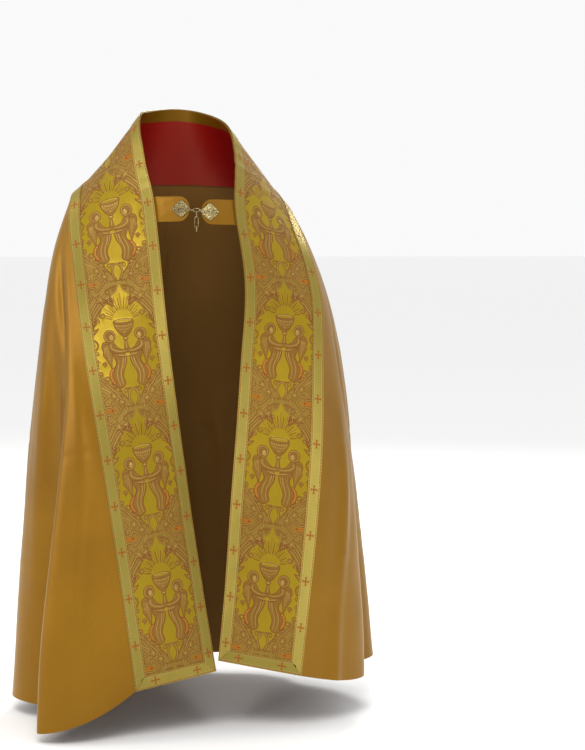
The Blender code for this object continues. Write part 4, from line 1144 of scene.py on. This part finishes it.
def make_orphrey(side):
    """One brocade band: its wall, and the woven face that lies over it."""
    end = FRONT_END[side]
    way = np.linspace(0, end, ORPHREY_COLUMNS)
    share = np.linspace(0, 1 - SEAM_HALF / WIDTH, ORPHREY_ROWS)
    grid_way, grid_share = np.meshgrid(way, share)
    points, normals = band_at(SIDES[side] * grid_way, grid_share, side)
    uv = np.stack([grid_share * WIDTH, grid_way], axis=-1)
    name = f"orphrey_{side}"
    cloths, thick = [BACKING, SATIN_IN], ORPHREY - FACE_GAP
    back = wall(f"{name}_wall", points, normals, thick, -FACE_GAP, uv, cloths, "brocade", [name])
    rims = [FIRST_RIM[side] + RIM_PITCH[side] * k for k in range(-2, 5)]
    flat, faces, which = repeated(TILE, [(0, REPEAT_TALL * k) for k in range(7)])

    def clamp(p):
        """Points held on the face."""
        lowest = (FACE_STARTS - rims[0]) / RIM_PITCH[side] * REPEAT_TALL
        highest = (end - FACE_STOPS - rims[0]) / RIM_PITCH[side] * REPEAT_TALL
        across = np.clip(p[:, 0], -FACE_HALF, FACE_HALF)
        return np.stack([across, np.clip(p[:, 1], lowest, highest)], axis=1)

    flat, faces, which = trimmed(flat, faces, which, clamp)
    way = rims[0] + flat[:, 1] * RIM_PITCH[side] / REPEAT_TALL
    points, normals = band_at(SIDES[side] * way, 0.5 + flat[:, 0] / 1000 / WIDTH)
    points = points + normals * proud(len(points), faces, which)[:, None]
    faces = check_turn(points, faces, normals)
    front = add_mesh(name, points, faces, THREADS, "brocade", [name], which, flat / 1000)


# ---------------------------------------------------------------- the braid
UNIT = 103.0  # from cross to cross, in mm
BRAID_HALF = 14.0  # half the braid's width, in mm
STITCHES = 14  # edge stitches from cross to cross


def draw_braid():
    """One unit of the braid, in mm along from its cross and across from its middle."""
    art = Drawing()
    cell = UNIT / STITCHES
    for edge in (-1, 1):
        for k in range(-7, 7):
            x = (k + 0.5) * cell
            near, far = edge * 8.7, edge * 9.7
            stitch = [(x - 3.0, near), (x, near - 0.5 * edge), (x + 3.0, near)]
            art.fill(2, [*stitch, (x + 2.6, far), (x - 2.6, far)])
            near, far = edge * 10.4, edge * 12.6
            art.fill(1, [(x - 2.3, near), (x + 2.3, near), (x + 2.3, far), (x - 2.3, far)])
    art.fill(1, [(-9.8, -1.5), (9.8, -1.5), (9.8, 1.5), (-9.8, 1.5)])
    art.fill(1, [(-1.6, -8.4), (1.6, -8.4), (1.6, 8.4), (-1.6, 8.4)])
    for turn in range(4):
        far = 9.8 if turn % 2 == 0 else 8.4
        way = (math.cos(math.pi / 2 * turn), math.sin(math.pi / 2 * turn))
        side = (-way[1], way[0])
        flare = [(-2.6, -1.4), (-0.4, -3.4), (0.4, 0), (-0.4, 3.4), (-2.6, 1.4)]
        flare = [(far + a, b) for a, b in flare]
        art.fill(1, [(way[0] * a + side[0] * b, way[1] * a + side[1] * b) for a, b in flare])
    return art.shapes


BRAID_ART = draw_braid()
BRAID_UNIT = woven(BRAID_ART, -UNIT / 2, UNIT / 2, -BRAID_HALF, BRAID_HALF, 5.2, 0, mirrored=False)


def braid(name, long, start, clamp, place, lift):
    """A closed strip of braid: `place` gives points and directions from mm along and across."""
    count = int(long * 1000 / UNIT) + 3
    flat, faces, which = repeated(BRAID_UNIT, [(start + UNIT * (k - 1), 0) for k in range(count)])
    flat, faces, which = trimmed(flat, faces, which, clamp)
    points, normals = place(flat)
    faces = check_turn(points, faces, normals)
    front, back = points + normals * lift, points + normals * (lift - GALLOON)
    points, faces, which = closed(front, back, faces, which, 0, 0)
    uv = np.concatenate([flat, flat]) / 1000
    obj = add_mesh(name, points, faces, BRAID, "galloon", [name], which, uv)


def on_braid(p):
    """Where points are across the braid, held on it: in mm, and as a share."""
    across = np.clip(p[:, 1], -BRAID_HALF, BRAID_HALF)
    return across, (across + BRAID_HALF) / (2 * BRAID_HALF)


def make_galloon(side, edge):
    """The braid along one edge of one orphrey, mitred at its foot."""
    end = FRONT_END[side]
    ways = np.linspace(0, end, 500)
    middle = GALLOON_SHARE / 2 if edge == "inner" else SEAM_SHARE - GALLOON_SHARE / 2
    run = run_along(band_point(SIDES[side] * ways, middle))
    mitre = np.interp(end - GALLOON_WIDE, ways, run) * 1000

    def clamp(p):
        """Points held on the strip and its mitre."""
        across, share = on_braid(p)
        last = run[-1] * 1000 - (run[-1] * 1000 - mitre) * share - 0.3 * (across > 0.1 - BRAID_HALF)
        return np.stack([np.clip(p[:, 0], 0, last), across], axis=1)

    def place(p):
        """Points and directions on the orphrey."""
        share = on_braid(p)[1]
        if edge == "inner":
            share = share * GALLOON_SHARE
        else:
            share = SEAM_SHARE - share * (SEAM_SHARE - 1 + GALLOON_SHARE)
        return band_at(SIDES[side] * np.interp(p[:, 0] / 1000, run, ways), share, side)

    start = 64.0 if edge == "inner" else 36.0
    braid(f"galloon_{edge}_{side}", float(run[-1]), start, clamp, place, GALLOON + 2 * GAP)


def make_hem_galloon(side):
    """The braid across one orphrey's foot, mitred at both ends."""
    end = FRONT_END[side]
    low, high = GALLOON_SHARE + GAP / WIDTH, 1 - GALLOON_SHARE - GAP / WIDTH

    def clamp(p):
        """Points held on the strip and its mitres."""
        across, down = on_braid(p)
        left = (low + (2 * GAP / WIDTH - low) * down) * WIDTH * 1000
        right = (high + (SEAM_SHARE - 2 * GAP / WIDTH - high) * down) * WIDTH * 1000
        return np.stack([np.clip(p[:, 0], left, right), across], axis=1)

    def place(p):
        """Points and directions on the orphrey."""
        way = end - GALLOON_WIDE + (p[:, 1] + BRAID_HALF) / 1000
        return band_at(SIDES[side] * way, p[:, 0] / 1000 / WIDTH, side)

    braid(f"galloon_hem_{side}", WIDTH, 48.0, clamp, place, GALLOON + 4 * GAP)


def make_back_galloon():
    """The braid over the orphreys' join at the nape."""
    low, high = GALLOON_SHARE + 2 * GAP / WIDTH, 1 - GALLOON_SHARE - 2 * GAP / WIDTH

    def clamp(p):
        """Points held on the strip."""
        along = np.clip(p[:, 0], low * WIDTH * 1000, high * WIDTH * 1000)
        return np.stack([along, on_braid(p)[0]], axis=1)

    def place(p):
        """Points and directions on the orphreys."""
        return band_at(p[:, 1] / 1000, p[:, 0] / 1000 / WIDTH)

    braid("galloon_back", (high - low) * WIDTH, 100.0, clamp, place, GALLOON + 2 * GAP)


def make_lining():
    """The gold facing along the neck's edge, and the red lining under it."""
    along = np.linspace(-LINED_FROM_NAPE, LINED_FROM_NAPE, 121)[None, :]
    facing_share = FACING_WIDE / WIDTH
    pieces = (
        ("neck_facing", 0.0, facing_share, 7, [SATIN_IN, SATIN_OUT], "facing"),
        ("neck_lining", facing_share + GAP / WIDTH, 0.97, 27, [RED, RED], "lining"),
    )
    for name, low, high, rows, finishes, slot in pieces:
        share = np.linspace(low, high, rows)[:, None]
        points, normals = band_at(along, share)
        uv = np.stack(np.broadcast_arrays(along, share * WIDTH), axis=-1)
        obj = wall(name, points, normals, LINING, -ORPHREY - 2 * GAP, uv, finishes, slot, [name])


# ---------------------------------------------------------------- the hood
HOOD_DOWN = np.linspace(-0.004, HOOD_TALL + 0.075, 121)
HOOD_ACROSS = np.linspace(-0.36, 0.36, 181)


def hood_table():
    """Points and directions over the back at each step down and across."""
    shares = np.linspace(-1, 1, 402)
    seams = []
    for just in (-1e-6, 1e-6):
        seams.append(run_along(body_point(just, np.linspace(0, 0.6, 400))))
    points, normals = np.empty((2, len(HOOD_DOWN), len(HOOD_ACROSS), 3))
    for k, down in enumerate(HOOD_DOWN):
        levels = [float(np.interp(down, seam, np.linspace(0, 0.6, 400))) for seam in seams]
        level = np.where(shares < 0, levels[0], levels[1])
        run = run_along(body_point(shares, level))
        share = np.interp(HOOD_ACROSS, run - (run[200] + run[201]) / 2, shares)
        level = np.where(share < 0, levels[0], levels[1])
        points[k], normals[k] = body_point(share, level), body_normal(share, level)
        middle = np.abs(HOOD_ACROSS) < 0.03
        mean = normals[k][middle].mean(axis=0)
        near = smooth(1 - np.abs(HOOD_ACROSS) / 0.03)[:, None]
        normals[k] = unit(normals[k] * (1 - near) + mean * near)
        off = HOOD_LIFT + HOOD_STANDS_OFF * (max(down, 0) / HOOD_TALL) ** 1.5 + HOOD
        points[k] += normals[k] * off
    down, across = np.meshgrid(HOOD_DOWN, HOOD_ACROSS, indexing="ij")
    held = smooth(down / 0.05)
    soft = 1.3 * unevenness(points, 0.16, 21) + 0.4 * unevenness(points, 0.05, 22)
    soft += 2.2 * np.exp(-(((across + 0.13 - 0.1 * down) / 0.03) ** 2)) * smooth((down - 0.1) / 0.2)
    soft -= 2.0 * np.exp(-(((across - 0.10 - 0.1 * down) / 0.03) ** 2)) * smooth((down - 0.15) / 0.2)
    return points + normals * (soft * held / 1000 + 0.0004 * held)[..., None], normals


HOOD_POINTS, HOOD_NORMALS = hood_table()


def hood_at(across, down):
    """Points and directions on the hood, from the table."""
    i = np.interp(down, HOOD_DOWN, np.arange(len(HOOD_DOWN)))
    j = np.interp(across, HOOD_ACROSS, np.arange(len(HOOD_ACROSS)))
    i0 = np.minimum(i.astype(int), len(HOOD_DOWN) - 2)
    j0 = np.minimum(j.astype(int), len(HOOD_ACROSS) - 2)
    a, b = (i - i0)[..., None], (j - j0)[..., None]
    out = []
    for table in (HOOD_POINTS, HOOD_NORMALS):
        upper = table[i0, j0] * (1 - b) + table[i0, j0 + 1] * b
        lower = table[i0 + 1, j0] * (1 - b) + table[i0 + 1, j0 + 1] * b
        out.append(upper * (1 - a) + lower * a)
    return out[0], unit(out[1])


def hood_half(down, inset=0.0):
    """Half of the hood's width, less an inset, at each distance down."""
    corner = HOOD_TALL - HOOD_CORNER
    side = HOOD_TOP + (HOOD_WIDE - HOOD_TOP) * np.sin(math.pi / 2 * np.clip(down / corner, 0, 1))
    below = np.maximum(down - corner, 0)
    radius = HOOD_CORNER - inset
    return side - inset - radius + np.sqrt(np.maximum(radius**2 - below**2, 0))


def hood_rail(inset):
    """The hood's outline moved in, as a fine line from its top right round to its top left."""
    corner, middle = HOOD_TALL - HOOD_CORNER, HOOD_WIDE - HOOD_CORNER
    straight = np.linspace(0.004, corner, 60)
    half = [(float(hood_half(down, inset)), down) for down in straight]
    radius = HOOD_CORNER - inset
    turns = np.radians(np.linspace(2, 90, 45))
    half += [(middle + radius * math.cos(turn), corner + radius * math.sin(turn)) for turn in turns]
    half += [(middle * share, HOOD_TALL - inset) for share in np.linspace(0.97, 0, 34)]
    half = np.array(half)
    return np.concatenate([half * [-1, 1], half[-2::-1]])


def on_rail(rail, run, at):
    """Points on the hood's outline at each distance along it."""
    return np.stack([np.interp(at, run, rail[:, k]) for k in (0, 1)], axis=1)


HOOD_RIM = 137.0  # from the hood's top to its chalice's rim, in mm


def make_hood():
    """The shield at the back: its wall, its woven face and its braid."""
    corner = HOOD_TALL - HOOD_CORNER
    rounded = corner + HOOD_CORNER * np.sin(np.radians(np.linspace(0, 90, 21)))
    down = np.concatenate([np.linspace(0.004, corner, 49)[:-1], rounded])
    column = np.linspace(-1, 1, 105)
    across = hood_half(down)[:, None] * column[None, :]
    deep = np.broadcast_to(down[:, None], across.shape)
    points, normals = hood_at(across, deep)
    uv = np.stack([across, deep], axis=-1)
    cloths, thick = [BACKING, SATIN_IN], HOOD - FACE_GAP
    back = wall("hood_wall", points, normals, thick, -FACE_GAP, uv, cloths, "brocade", ["hood"])
    offsets = [(REPEAT_WIDE * k, REPEAT_TALL * j) for k in range(-2, 3) for j in range(-1, 3)]
    flat, faces, which = repeated(TILE, offsets)

    def clamp(p):
        """Points held on the face."""
        deep = np.clip(p[:, 1], 6.0 - HOOD_RIM, HOOD_TALL * 1000 - 8 - HOOD_RIM)
        reach = hood_half((deep + HOOD_RIM) / 1000, 0.008) * 1000
        return np.stack([np.clip(p[:, 0], -reach, reach), deep], axis=1)

    flat, faces, which = trimmed(flat, faces, which, clamp)
    points, normals = hood_at(flat[:, 0] / 1000, (flat[:, 1] + HOOD_RIM) / 1000)
    points = points + normals * proud(len(points), faces, which)[:, None]
    faces = check_turn(points, faces, normals)
    front = add_mesh("hood", points, faces, THREADS, "brocade", ["hood"], which, flat / 1000)

    outer, inner = hood_rail(0.0005), hood_rail(GALLOON_WIDE)
    middle = (outer + inner) / 2
    run = run_along(middle) * 1000

    def cut(p):
        """Points held on the strip."""
        return np.stack([np.clip(p[:, 0], 0, run[-1]), on_braid(p)[0]], axis=1)

    def place(p):
        """Points and directions on the hood."""
        inward = on_braid(p)[1][:, None]
        where = on_rail(outer, run, p[:, 0]) * (1 - inward) + on_rail(inner, run, p[:, 0]) * inward
        points, normals = hood_at(where[:, 0], where[:, 1])
        bend = np.exp(-(((np.abs(where[:, 0]) - 0.25) / 0.05) ** 2)) * smooth((where[:, 1] - 0.30) / 0.05)
        ripple = 0.0006 * bend * inward[:, 0] * (1 + np.sin(p[:, 0] * 0.55 + 2 * np.sin(p[:, 0] * 0.13)))
        return points + normals * ripple[:, None], normals

    braid("hood_galloon", float(run[-1]) / 1000, 40.0, cut, place, GALLOON + 0.0011)


CORD_PITCH, CORD_RADIUS = 0.0021, 0.00112
CORD_TWIST, CORD_FLAT = 0.0085, 0.62  # the length of one turn, and how flat two strands make it


def make_fringe():
    """Twisted cords that hang from the hood's edge."""
    root = hood_rail(-FRINGE_BELOW)
    run = run_along(root)
    count = int(run[-1] / CORD_PITCH)
    rng = np.random.default_rng(8)
    at = np.linspace(0.002, run[-1] - 0.002, count) + rng.uniform(-0.0003, 0.0003, count)
    start = on_rail(root, run, at)
    ahead = on_rail(root, run, at + 0.004) - on_rail(root, run, at - 0.004)
    outward = unit(np.stack([-ahead[:, 1], ahead[:, 0]], axis=1))
    sideways = 1 - np.abs(outward[:, 1:])
    hang = unit(outward * [FRINGE_SPREAD, 1.0] + np.array([0.0, FRINGE_DROOP]) * sideways)
    rings, sides = 15, 5
    share = np.linspace(0, 1, rings)
    long = FRINGE_LONG - 0.0035 + rng.uniform(-0.0025, 0.0008, count) + 0.0007 * np.sin(at * 40)
    sway = rng.normal(0, 0.0011, count)[:, None] * share**1.5
    sway = sway + 0.0006 * np.sin(share * 9 + rng.uniform(0, 6, count)[:, None]) * share
    aside = np.stack([hang[:, 1], -hang[:, 0]], axis=1)
    fallen = hang[:, None, :] * (long[:, None] * share)[..., None]
    place = start[:, None, :] + fallen + aside[:, None, :] * sway[..., None]
    points, normals = hood_at(place[..., 0], place[..., 1])
    layer = np.where(np.arange(count) % 2 == 0, -0.0006, -0.0021) + rng.uniform(-0.0003, 0.0003, count)
    centre = points + normals * layer[:, None, None]
    tangent = unit(np.gradient(centre, axis=1))
    across = unit(np.cross(normals, tangent))
    out = np.cross(tangent, across)
    twist = share[None, :] * long[:, None] / CORD_TWIST * 2 * math.pi + rng.uniform(0, 6.28, count)[:, None]
    thin = np.clip(np.minimum(1.0, (1 - share) / 0.035 + 0.35), 0, 1)
    thin[0] = 0.8
    ring = np.zeros((count, rings, sides, 3))
    for k in range(sides):
        turn = 2 * math.pi * k / sides
        oblong = np.sqrt(np.cos(turn - twist) ** 2 + (CORD_FLAT * np.sin(turn - twist)) ** 2)
        radius = (CORD_RADIUS * oblong) * thin[None, :]
        beside, above = (radius * math.cos(turn))[..., None], (radius * math.sin(turn))[..., None]
        ring[:, :, k] = centre + across * beside + out * above
    all_points = ring.reshape(-1, 3)
    faces = []
    for strand in range(count):
        base = strand * rings * sides
        for j in range(rings - 1):
            low, high = base + j * sides, base + (j + 1) * sides
            for k in range(sides):
                n = (k + 1) % sides
                faces.append((low + k, high + k, high + n, low + n))
        faces.append(tuple(base + k for k in range(sides)))
        faces.append(tuple(base + (rings - 1) * sides + k for k in range(sides - 1, -1, -1)))
    uv = all_points[:, [0, 2]]
    add_mesh("hood_fringe", all_points, faces, [CORD], "fringe", ["hood_fringe"], uv=uv)
    heading, out = hood_at(root[:, 0], root[:, 1])
    wire = tube_mesh(heading + out * -0.0004, 0.0010, 8, False)
    add_mesh("fringe_heading", *wire, [CORD], "fringe", ["hood_fringe"])


def tube_mesh(centres, radius, sides, ring, up=None):
    """Points and faces of a round wire along a line."""
    centres = np.asarray(centres, float)
    count = len(centres)
    if ring:
        tangent = unit(np.roll(centres, -1, axis=0) - np.roll(centres, 1, axis=0))
    else:
        tangent = unit(np.gradient(centres, axis=0))
    if up is None:
        up = unit(np.cross(centres[1] - centres[0], centres[count // 3] - centres[0]) + 1e-9)
    across = unit(np.cross(tangent, up))
    out = np.cross(across, tangent)
    radius = np.broadcast_to(np.asarray(radius, float), (count,))
    turns = 2 * math.pi * np.arange(sides) / sides
    points = centres[:, None] + radius[:, None, None] * (
        np.cos(turns)[None, :, None] * across[:, None] + np.sin(turns)[None, :, None] * out[:, None]
    )
    faces = []
    for i in range(count if ring else count - 1):
        for k in range(sides):
            a, b = i * sides + k, i * sides + (k + 1) % sides
            c, d = (b + sides) % (count * sides), (a + sides) % (count * sides)
            faces.append((a, b, c, d))
    if not ring:
        faces.append(tuple(range(sides - 1, -1, -1)))
        faces.append(tuple(range((count - 1) * sides, count * sides)))
    points = points.reshape(-1, 3)
    first = np.array(faces[0])
    edge_a, edge_b = points[first[1]] - points[first[0]], points[first[2]] - points[first[0]]
    if (np.cross(edge_a, edge_b) @ (points[first[0]] - centres[0])) < 0:
        faces = [tuple(reversed(face)) for face in faces]
    return points, faces


# ---------------------------------------------------------------- the morse
def along_at_height(side, height):
    """Where an orphrey's inner edge passes a height."""
    way = SIDES[side] * np.linspace(0.15, 0.6, 200)
    return float(way[np.argmin(np.abs(inner_edge(way)[:, 2] - height))])


def tab_frame(side):
    """A tab's tip, the way from its orphrey to the tip, and its outward way."""
    tip = np.array(TAB_TIP[side])
    edge = band_point(along_at_height(side, tip[2]), 0.0)
    ahead = unit(tip - edge)
    return tip, ahead, unit(np.cross([0, 0, 1], ahead) * SIDES[side])


def make_tab(side):
    """A satin tab, sewn behind the orphrey, round at its end."""
    tip, ahead, facing = tab_frame(side)
    radius = TAB_TALL / 2
    rows, columns = 41, 49
    points, normals = np.zeros((2, rows, columns, 3))
    lines = np.linspace(1, -1, TAB_ROWS)
    shares = np.linspace(0, 1, columns)
    rails = []
    for row in lines:
        along = along_at_height(side, tip[2] + radius * row)
        sewn = [(band_point(along, part), band_normal(along, part)) for part in (TAB_UNDER / WIDTH, 0.0)]
        behind = [point - normal * (ORPHREY + TAB_BEHIND) for point, normal in sewn]
        rails.append([*behind, sewn[0][1], unit(sewn[1][1] + facing)])
    rails = np.array(rails)
    for i, row in enumerate(np.linspace(1, -1, rows)):
        rail = np.stack([[np.interp(-row, -lines, rails[:, k, c]) for c in range(3)] for k in range(4)])
        bow = math.sqrt(max(1 - row * row, 0))
        nose = tip - ahead * radius * (1 - bow) + np.array([0, 0, 1.0]) * radius * row
        knots = (0.0, 0.28, 1.0)
        keys = np.stack([rail[0], rail[1], nose])
        turned = np.stack([rail[2], rail[3], facing])
        for c in range(3):
            points[i, :, c] = np.interp(shares, knots, keys[:, c])
            normals[i, :, c] = np.interp(shares, (0.0, 0.28, 0.45), turned[:, c])
    normals = unit(normals)
    edge = np.minimum(1 - np.abs(np.linspace(1, -1, rows))[:, None], (1 - shares)[None, :] * 1.6) * radius
    stitched = -0.00045 * np.exp(-(((edge - 0.0035) / 0.0008) ** 2))
    uneven = 0.0003 * unevenness(points, 0.03, 5) * smooth(edge / 0.01)
    points = points + normals * (stitched + uneven)[..., None]
    down = np.linspace(0, TAB_TALL, rows)[:, None]
    uv = np.stack(np.broadcast_arrays(shares[None, :] * 0.1, down), axis=-1)
    name = f"tab_{side}"
    obj = wall(name, points, normals, TAB, 0.0, uv, [SATIN_OUT, SATIN_IN], "satin", [name])


def leaf_reach(turn):
    """How far the leaf's edge is from its centre, beside a plain circle."""
    wide, tall = abs(math.cos(turn)), abs(math.sin(turn))
    pointed = 1 / (wide**LEAF_SHARP + tall**LEAF_SHARP) ** (1 / LEAF_SHARP)
    return pointed * (1 + LEAF_LOBE * math.cos(LEAF_LOBES * turn))


def plate_frame(side):
    """A plate's centre, the way towards the opening, and its outward way."""
    tip, ahead, facing = tab_frame(side)
    return tip - ahead * PLATE_FROM_TIP + facing * 2 * GAP, ahead, facing


PLATE_EDGE = 0.0011  # its thickness at the rim


def make_plate(side):
    """A domed leaf in filigree: ribs from its middle, curls between them, grains round a boss."""
    centre, ahead, facing = plate_frame(side)
    tall = np.cross(facing, ahead)
    finish = OLD_DARK if side == "right" else OLD_SILVER
    spokes, rings = 168, 26
    turns = 2 * math.pi * np.arange(spokes) / spokes
    reach = np.array([leaf_reach(turn) for turn in turns])
    share = np.linspace(0, 1, rings)
    share = share**0.85
    s, t = np.meshgrid(share, turns, indexing="ij")
    dome = 0.0023 * (1 - s**2.4)
    ribs = 0.0010 * np.abs(np.cos(LEAF_LOBES / 2 * t)) ** 3 * np.sin(math.pi * np.clip(s, 0.05, 1)) ** 0.6
    curls = 0.0008 * np.sin(s * 17 + np.cos(LEAF_LOBES * t) * 2.2)
    curls = curls * smooth((s - 0.3) / 0.1) * smooth((0.95 - s) / 0.08)
    ridge = 0.0006 * np.exp(-(((s - 0.30) / 0.035) ** 2)) + 0.0007 * np.exp(-(((s - 0.93) / 0.03) ** 2))
    boss = 0.0011 * np.exp(-((s / 0.15) ** 2))
    grains = 0.0005 * np.maximum(np.cos(t * 42), 0) * np.exp(-(((s - 0.93) / 0.03) ** 2))
    height = PLATE_EDGE + dome + ribs + curls + ridge + boss + grains
    flat_x = s * reach[None, :] * np.cos(t) * PLATE_WIDE / 2
    flat_y = s * reach[None, :] * np.sin(t) * PLATE_TALL / 2
    front = centre + ahead * flat_x[..., None] + tall * flat_y[..., None] + facing * height[..., None]
    hub = centre + facing * (PLATE_EDGE + 0.0023 + 0.0011)
    rim_back = centre + ahead * flat_x[-1][:, None] + tall * flat_y[-1][:, None]
    points = np.concatenate([[hub], front[1:].reshape(-1, 3), rim_back, [centre]])
    faces = []
    for k in range(spokes):
        n = (k + 1) % spokes
        faces.append((0, 1 + k, 1 + n))
        for j in range(rings - 2):
            a = 1 + j * spokes
            faces.append((a + k, a + spokes + k, a + spokes + n, a + n))
        a = 1 + (rings - 2) * spokes
        faces.append((a + k, a + spokes + k, a + spokes + n, a + n))
        faces.append((a + spokes + k, len(points) - 1, a + spokes + n))
    if np.cross(ahead, tall) @ facing < 0:
        faces = [tuple(reversed(face)) for face in faces]
    name = f"clasp_plate_{side}"
    made = add_mesh(name, points, faces, [finish], "antique silver", [name])
    made.data.set_sharp_from_angle(angle=math.radians(70))


RING_LONG = 0.0150
RING_TALL = 0.0070
RING_OFFSET = np.array([0.0015, -0.0030, 0.0])
HOOK_BEND = 0.0017


def morse_middle():
    """The ring's centre, between the plates."""
    ends = [plate_frame(side)[0] + plate_frame(side)[1] * PLATE_WIDE / 2 for side in ("right", "left")]
    return (ends[0] + ends[1]) / 2 + RING_OFFSET


def make_hook(name, side):
    """A wire from a plate that bends round the ring's end."""
    centre, ahead, facing = plate_frame(side)
    middle = morse_middle()
    toward = SIDES[side]
    ring_end = middle + np.array([toward * RING_LONG / 2, 0, 0])
    start = centre + ahead * (PLATE_WIDE / 2 * 0.90) + facing * (PLATE_THICK + WIRE + GAP)
    start = np.array([start[0], min(start[1], ring_end[1] - HOOK_BEND), ring_end[2]])
    first = start * 0.5 + (ring_end + np.array([0, -HOOK_BEND, 0])) * 0.5
    path = [start * (1 - k / 6) + first * k / 6 for k in range(6)] + [first]
    for turn in range(-90, 116, 9):
        angle = math.radians(turn)
        path.append(ring_end + np.array([-toward * math.cos(angle), math.sin(angle), 0]) * HOOK_BEND)
    points, faces = tube_mesh(path, WIRE, 14, False, up=np.array([0.0, 0.0, 1.0]))
    add_mesh(name, points, faces, [OLD_SILVER], "antique silver", [name])


def loop_line(centre, long, wide, along, across, turns=64):
    """The middle of a link's wire: two straights and two half circles."""
    straight, radius = (long - wide) / 2, wide / 2
    points = []
    for k in range(turns):
        turn = 2 * math.pi * (k + 0.5) / turns
        shift = math.copysign(straight, math.cos(turn))
        points.append(centre + along * (shift + radius * math.cos(turn)) + across * radius * math.sin(turn))
    return points


UPPER_LONG, UPPER_WIDE = 0.0150, 0.0046
LONG_LONG, LONG_WIDE = 0.0240, 0.0080
DROP_LONG, DROP_WIDE = 0.0110, 0.0042


def make_chain():
    """The ring, and the links and the drop that hang from it."""
    x, y, z = np.eye(3)
    middle = morse_middle()
    points, faces = tube_mesh(loop_line(middle, RING_LONG, RING_TALL, x, z), WIRE, 14, True)
    add_mesh("clasp_ring", points, faces, [OLD_SILVER], "antique silver", ["clasp_ring"])
    pivot = middle - z * RING_TALL / 2
    pitch = 2 * WIRE + LINK_SLACK
    second = pivot - z * (UPPER_LONG - pitch)
    third = second - z * (LONG_LONG - pitch)
    links = (
        (pivot, "chain_link_upper", UPPER_LONG, UPPER_WIDE, y, "link_upper"),
        (second, "chain_link_long", LONG_LONG, LONG_WIDE, x, "link_long"),
        (third, "chain_drop", DROP_LONG, DROP_WIDE, y, "drop"),
    )
    for at, name, long, wide, across, body in links:
        centre = at + z * (pitch - long / 2)
        points, faces = tube_mesh(loop_line(centre, long, wide, z, across), WIRE, 14, True)
        add_mesh(name, points, faces, [OLD_SILVER], "antique silver", [name], body=body)


# ---------------------------------------------------------------- the whole, its stage and its camera
for side in SIDES:
    make_body(side)
    make_orphrey(side)
    make_galloon(side, "inner")
    make_galloon(side, "outer")
    make_hem_galloon(side)
    make_tab(side)
    make_plate(side)
make_back_galloon()
make_lining()
make_hood()
make_fringe()
make_hook("clasp_hook", "right")
make_hook("clasp_eyelet", "left")
make_chain()


FLOOR_AT, FLOOR_HALF = -1.335, 300
LAMPS_AIM = (0, 0, -0.6)
LAMPS = (
    ("key", (-1.0, -3.4, 2.8), 2.4, 125, (1.0, 0.98, 0.95)),
    ("side", (-3.6, 0.2, 0.6), 1.2, 22, (1.0, 0.97, 0.92)),
    ("back", (1.8, 3.2, 2.2), 1.6, 115, (1.0, 0.99, 0.97)),
)
CAMERA_AT, CAMERA_LENS = (-0.936, -4.401, -0.26), 91.5
CAMERA_PITCH, CAMERA_TURN = 3.75, 12.0 + 3.29


def make_stage():
    """A white floor and world, and three soft lamps."""
    data = bpy.data.meshes.new("studio_floor")
    ways = ((-1, -1), (1, -1), (1, 1), (-1, 1))
    corners = [(FLOOR_HALF * x, FLOOR_HALF * y, FLOOR_AT) for x, y in ways]
    data.from_pydata(corners, [], [(0, 1, 2, 3)])
    data.materials.append(floor_finish())
    floor = bpy.data.objects.new("studio_floor", data)
    bpy.context.scene.collection.objects.link(floor)
    world = bpy.data.worlds.new("studio")
    bpy.context.scene.world = world
    world.use_nodes = True
    background = world.node_tree.nodes["Background"].inputs
    background["Color"].default_value = (1, 1, 1, 1)
    background["Strength"].default_value = 0.95
    for name, place, size, power, colour in LAMPS:
        light = bpy.data.lights.new(name, "AREA")
        light.shape = "DISK"
        light.size = size
        light.energy = power
        light.color = colour
        lamp = bpy.data.objects.new(name, light)
        lamp.location = place
        aim = Vector(LAMPS_AIM) - Vector(place)
        lamp.rotation_euler = aim.to_track_quat("-Z", "Y").to_euler()
        bpy.context.scene.collection.objects.link(lamp)


def make_camera():
    """The camera that took the photograph, as fitted to it."""
    data = bpy.data.cameras.new("photo camera")
    data.lens = CAMERA_LENS
    data.sensor_width = 36.0
    data.dof.use_dof = False
    camera = bpy.data.objects.new("photo camera", data)
    camera.location = CAMERA_AT
    camera.rotation_euler = (math.radians(90 - CAMERA_PITCH), 0, math.radians(-CAMERA_TURN))
    bpy.context.scene.collection.objects.link(camera)
    bpy.context.scene.camera = camera


make_stage()
make_camera()
bpy.context.scene.view_settings.view_transform = "Standard"
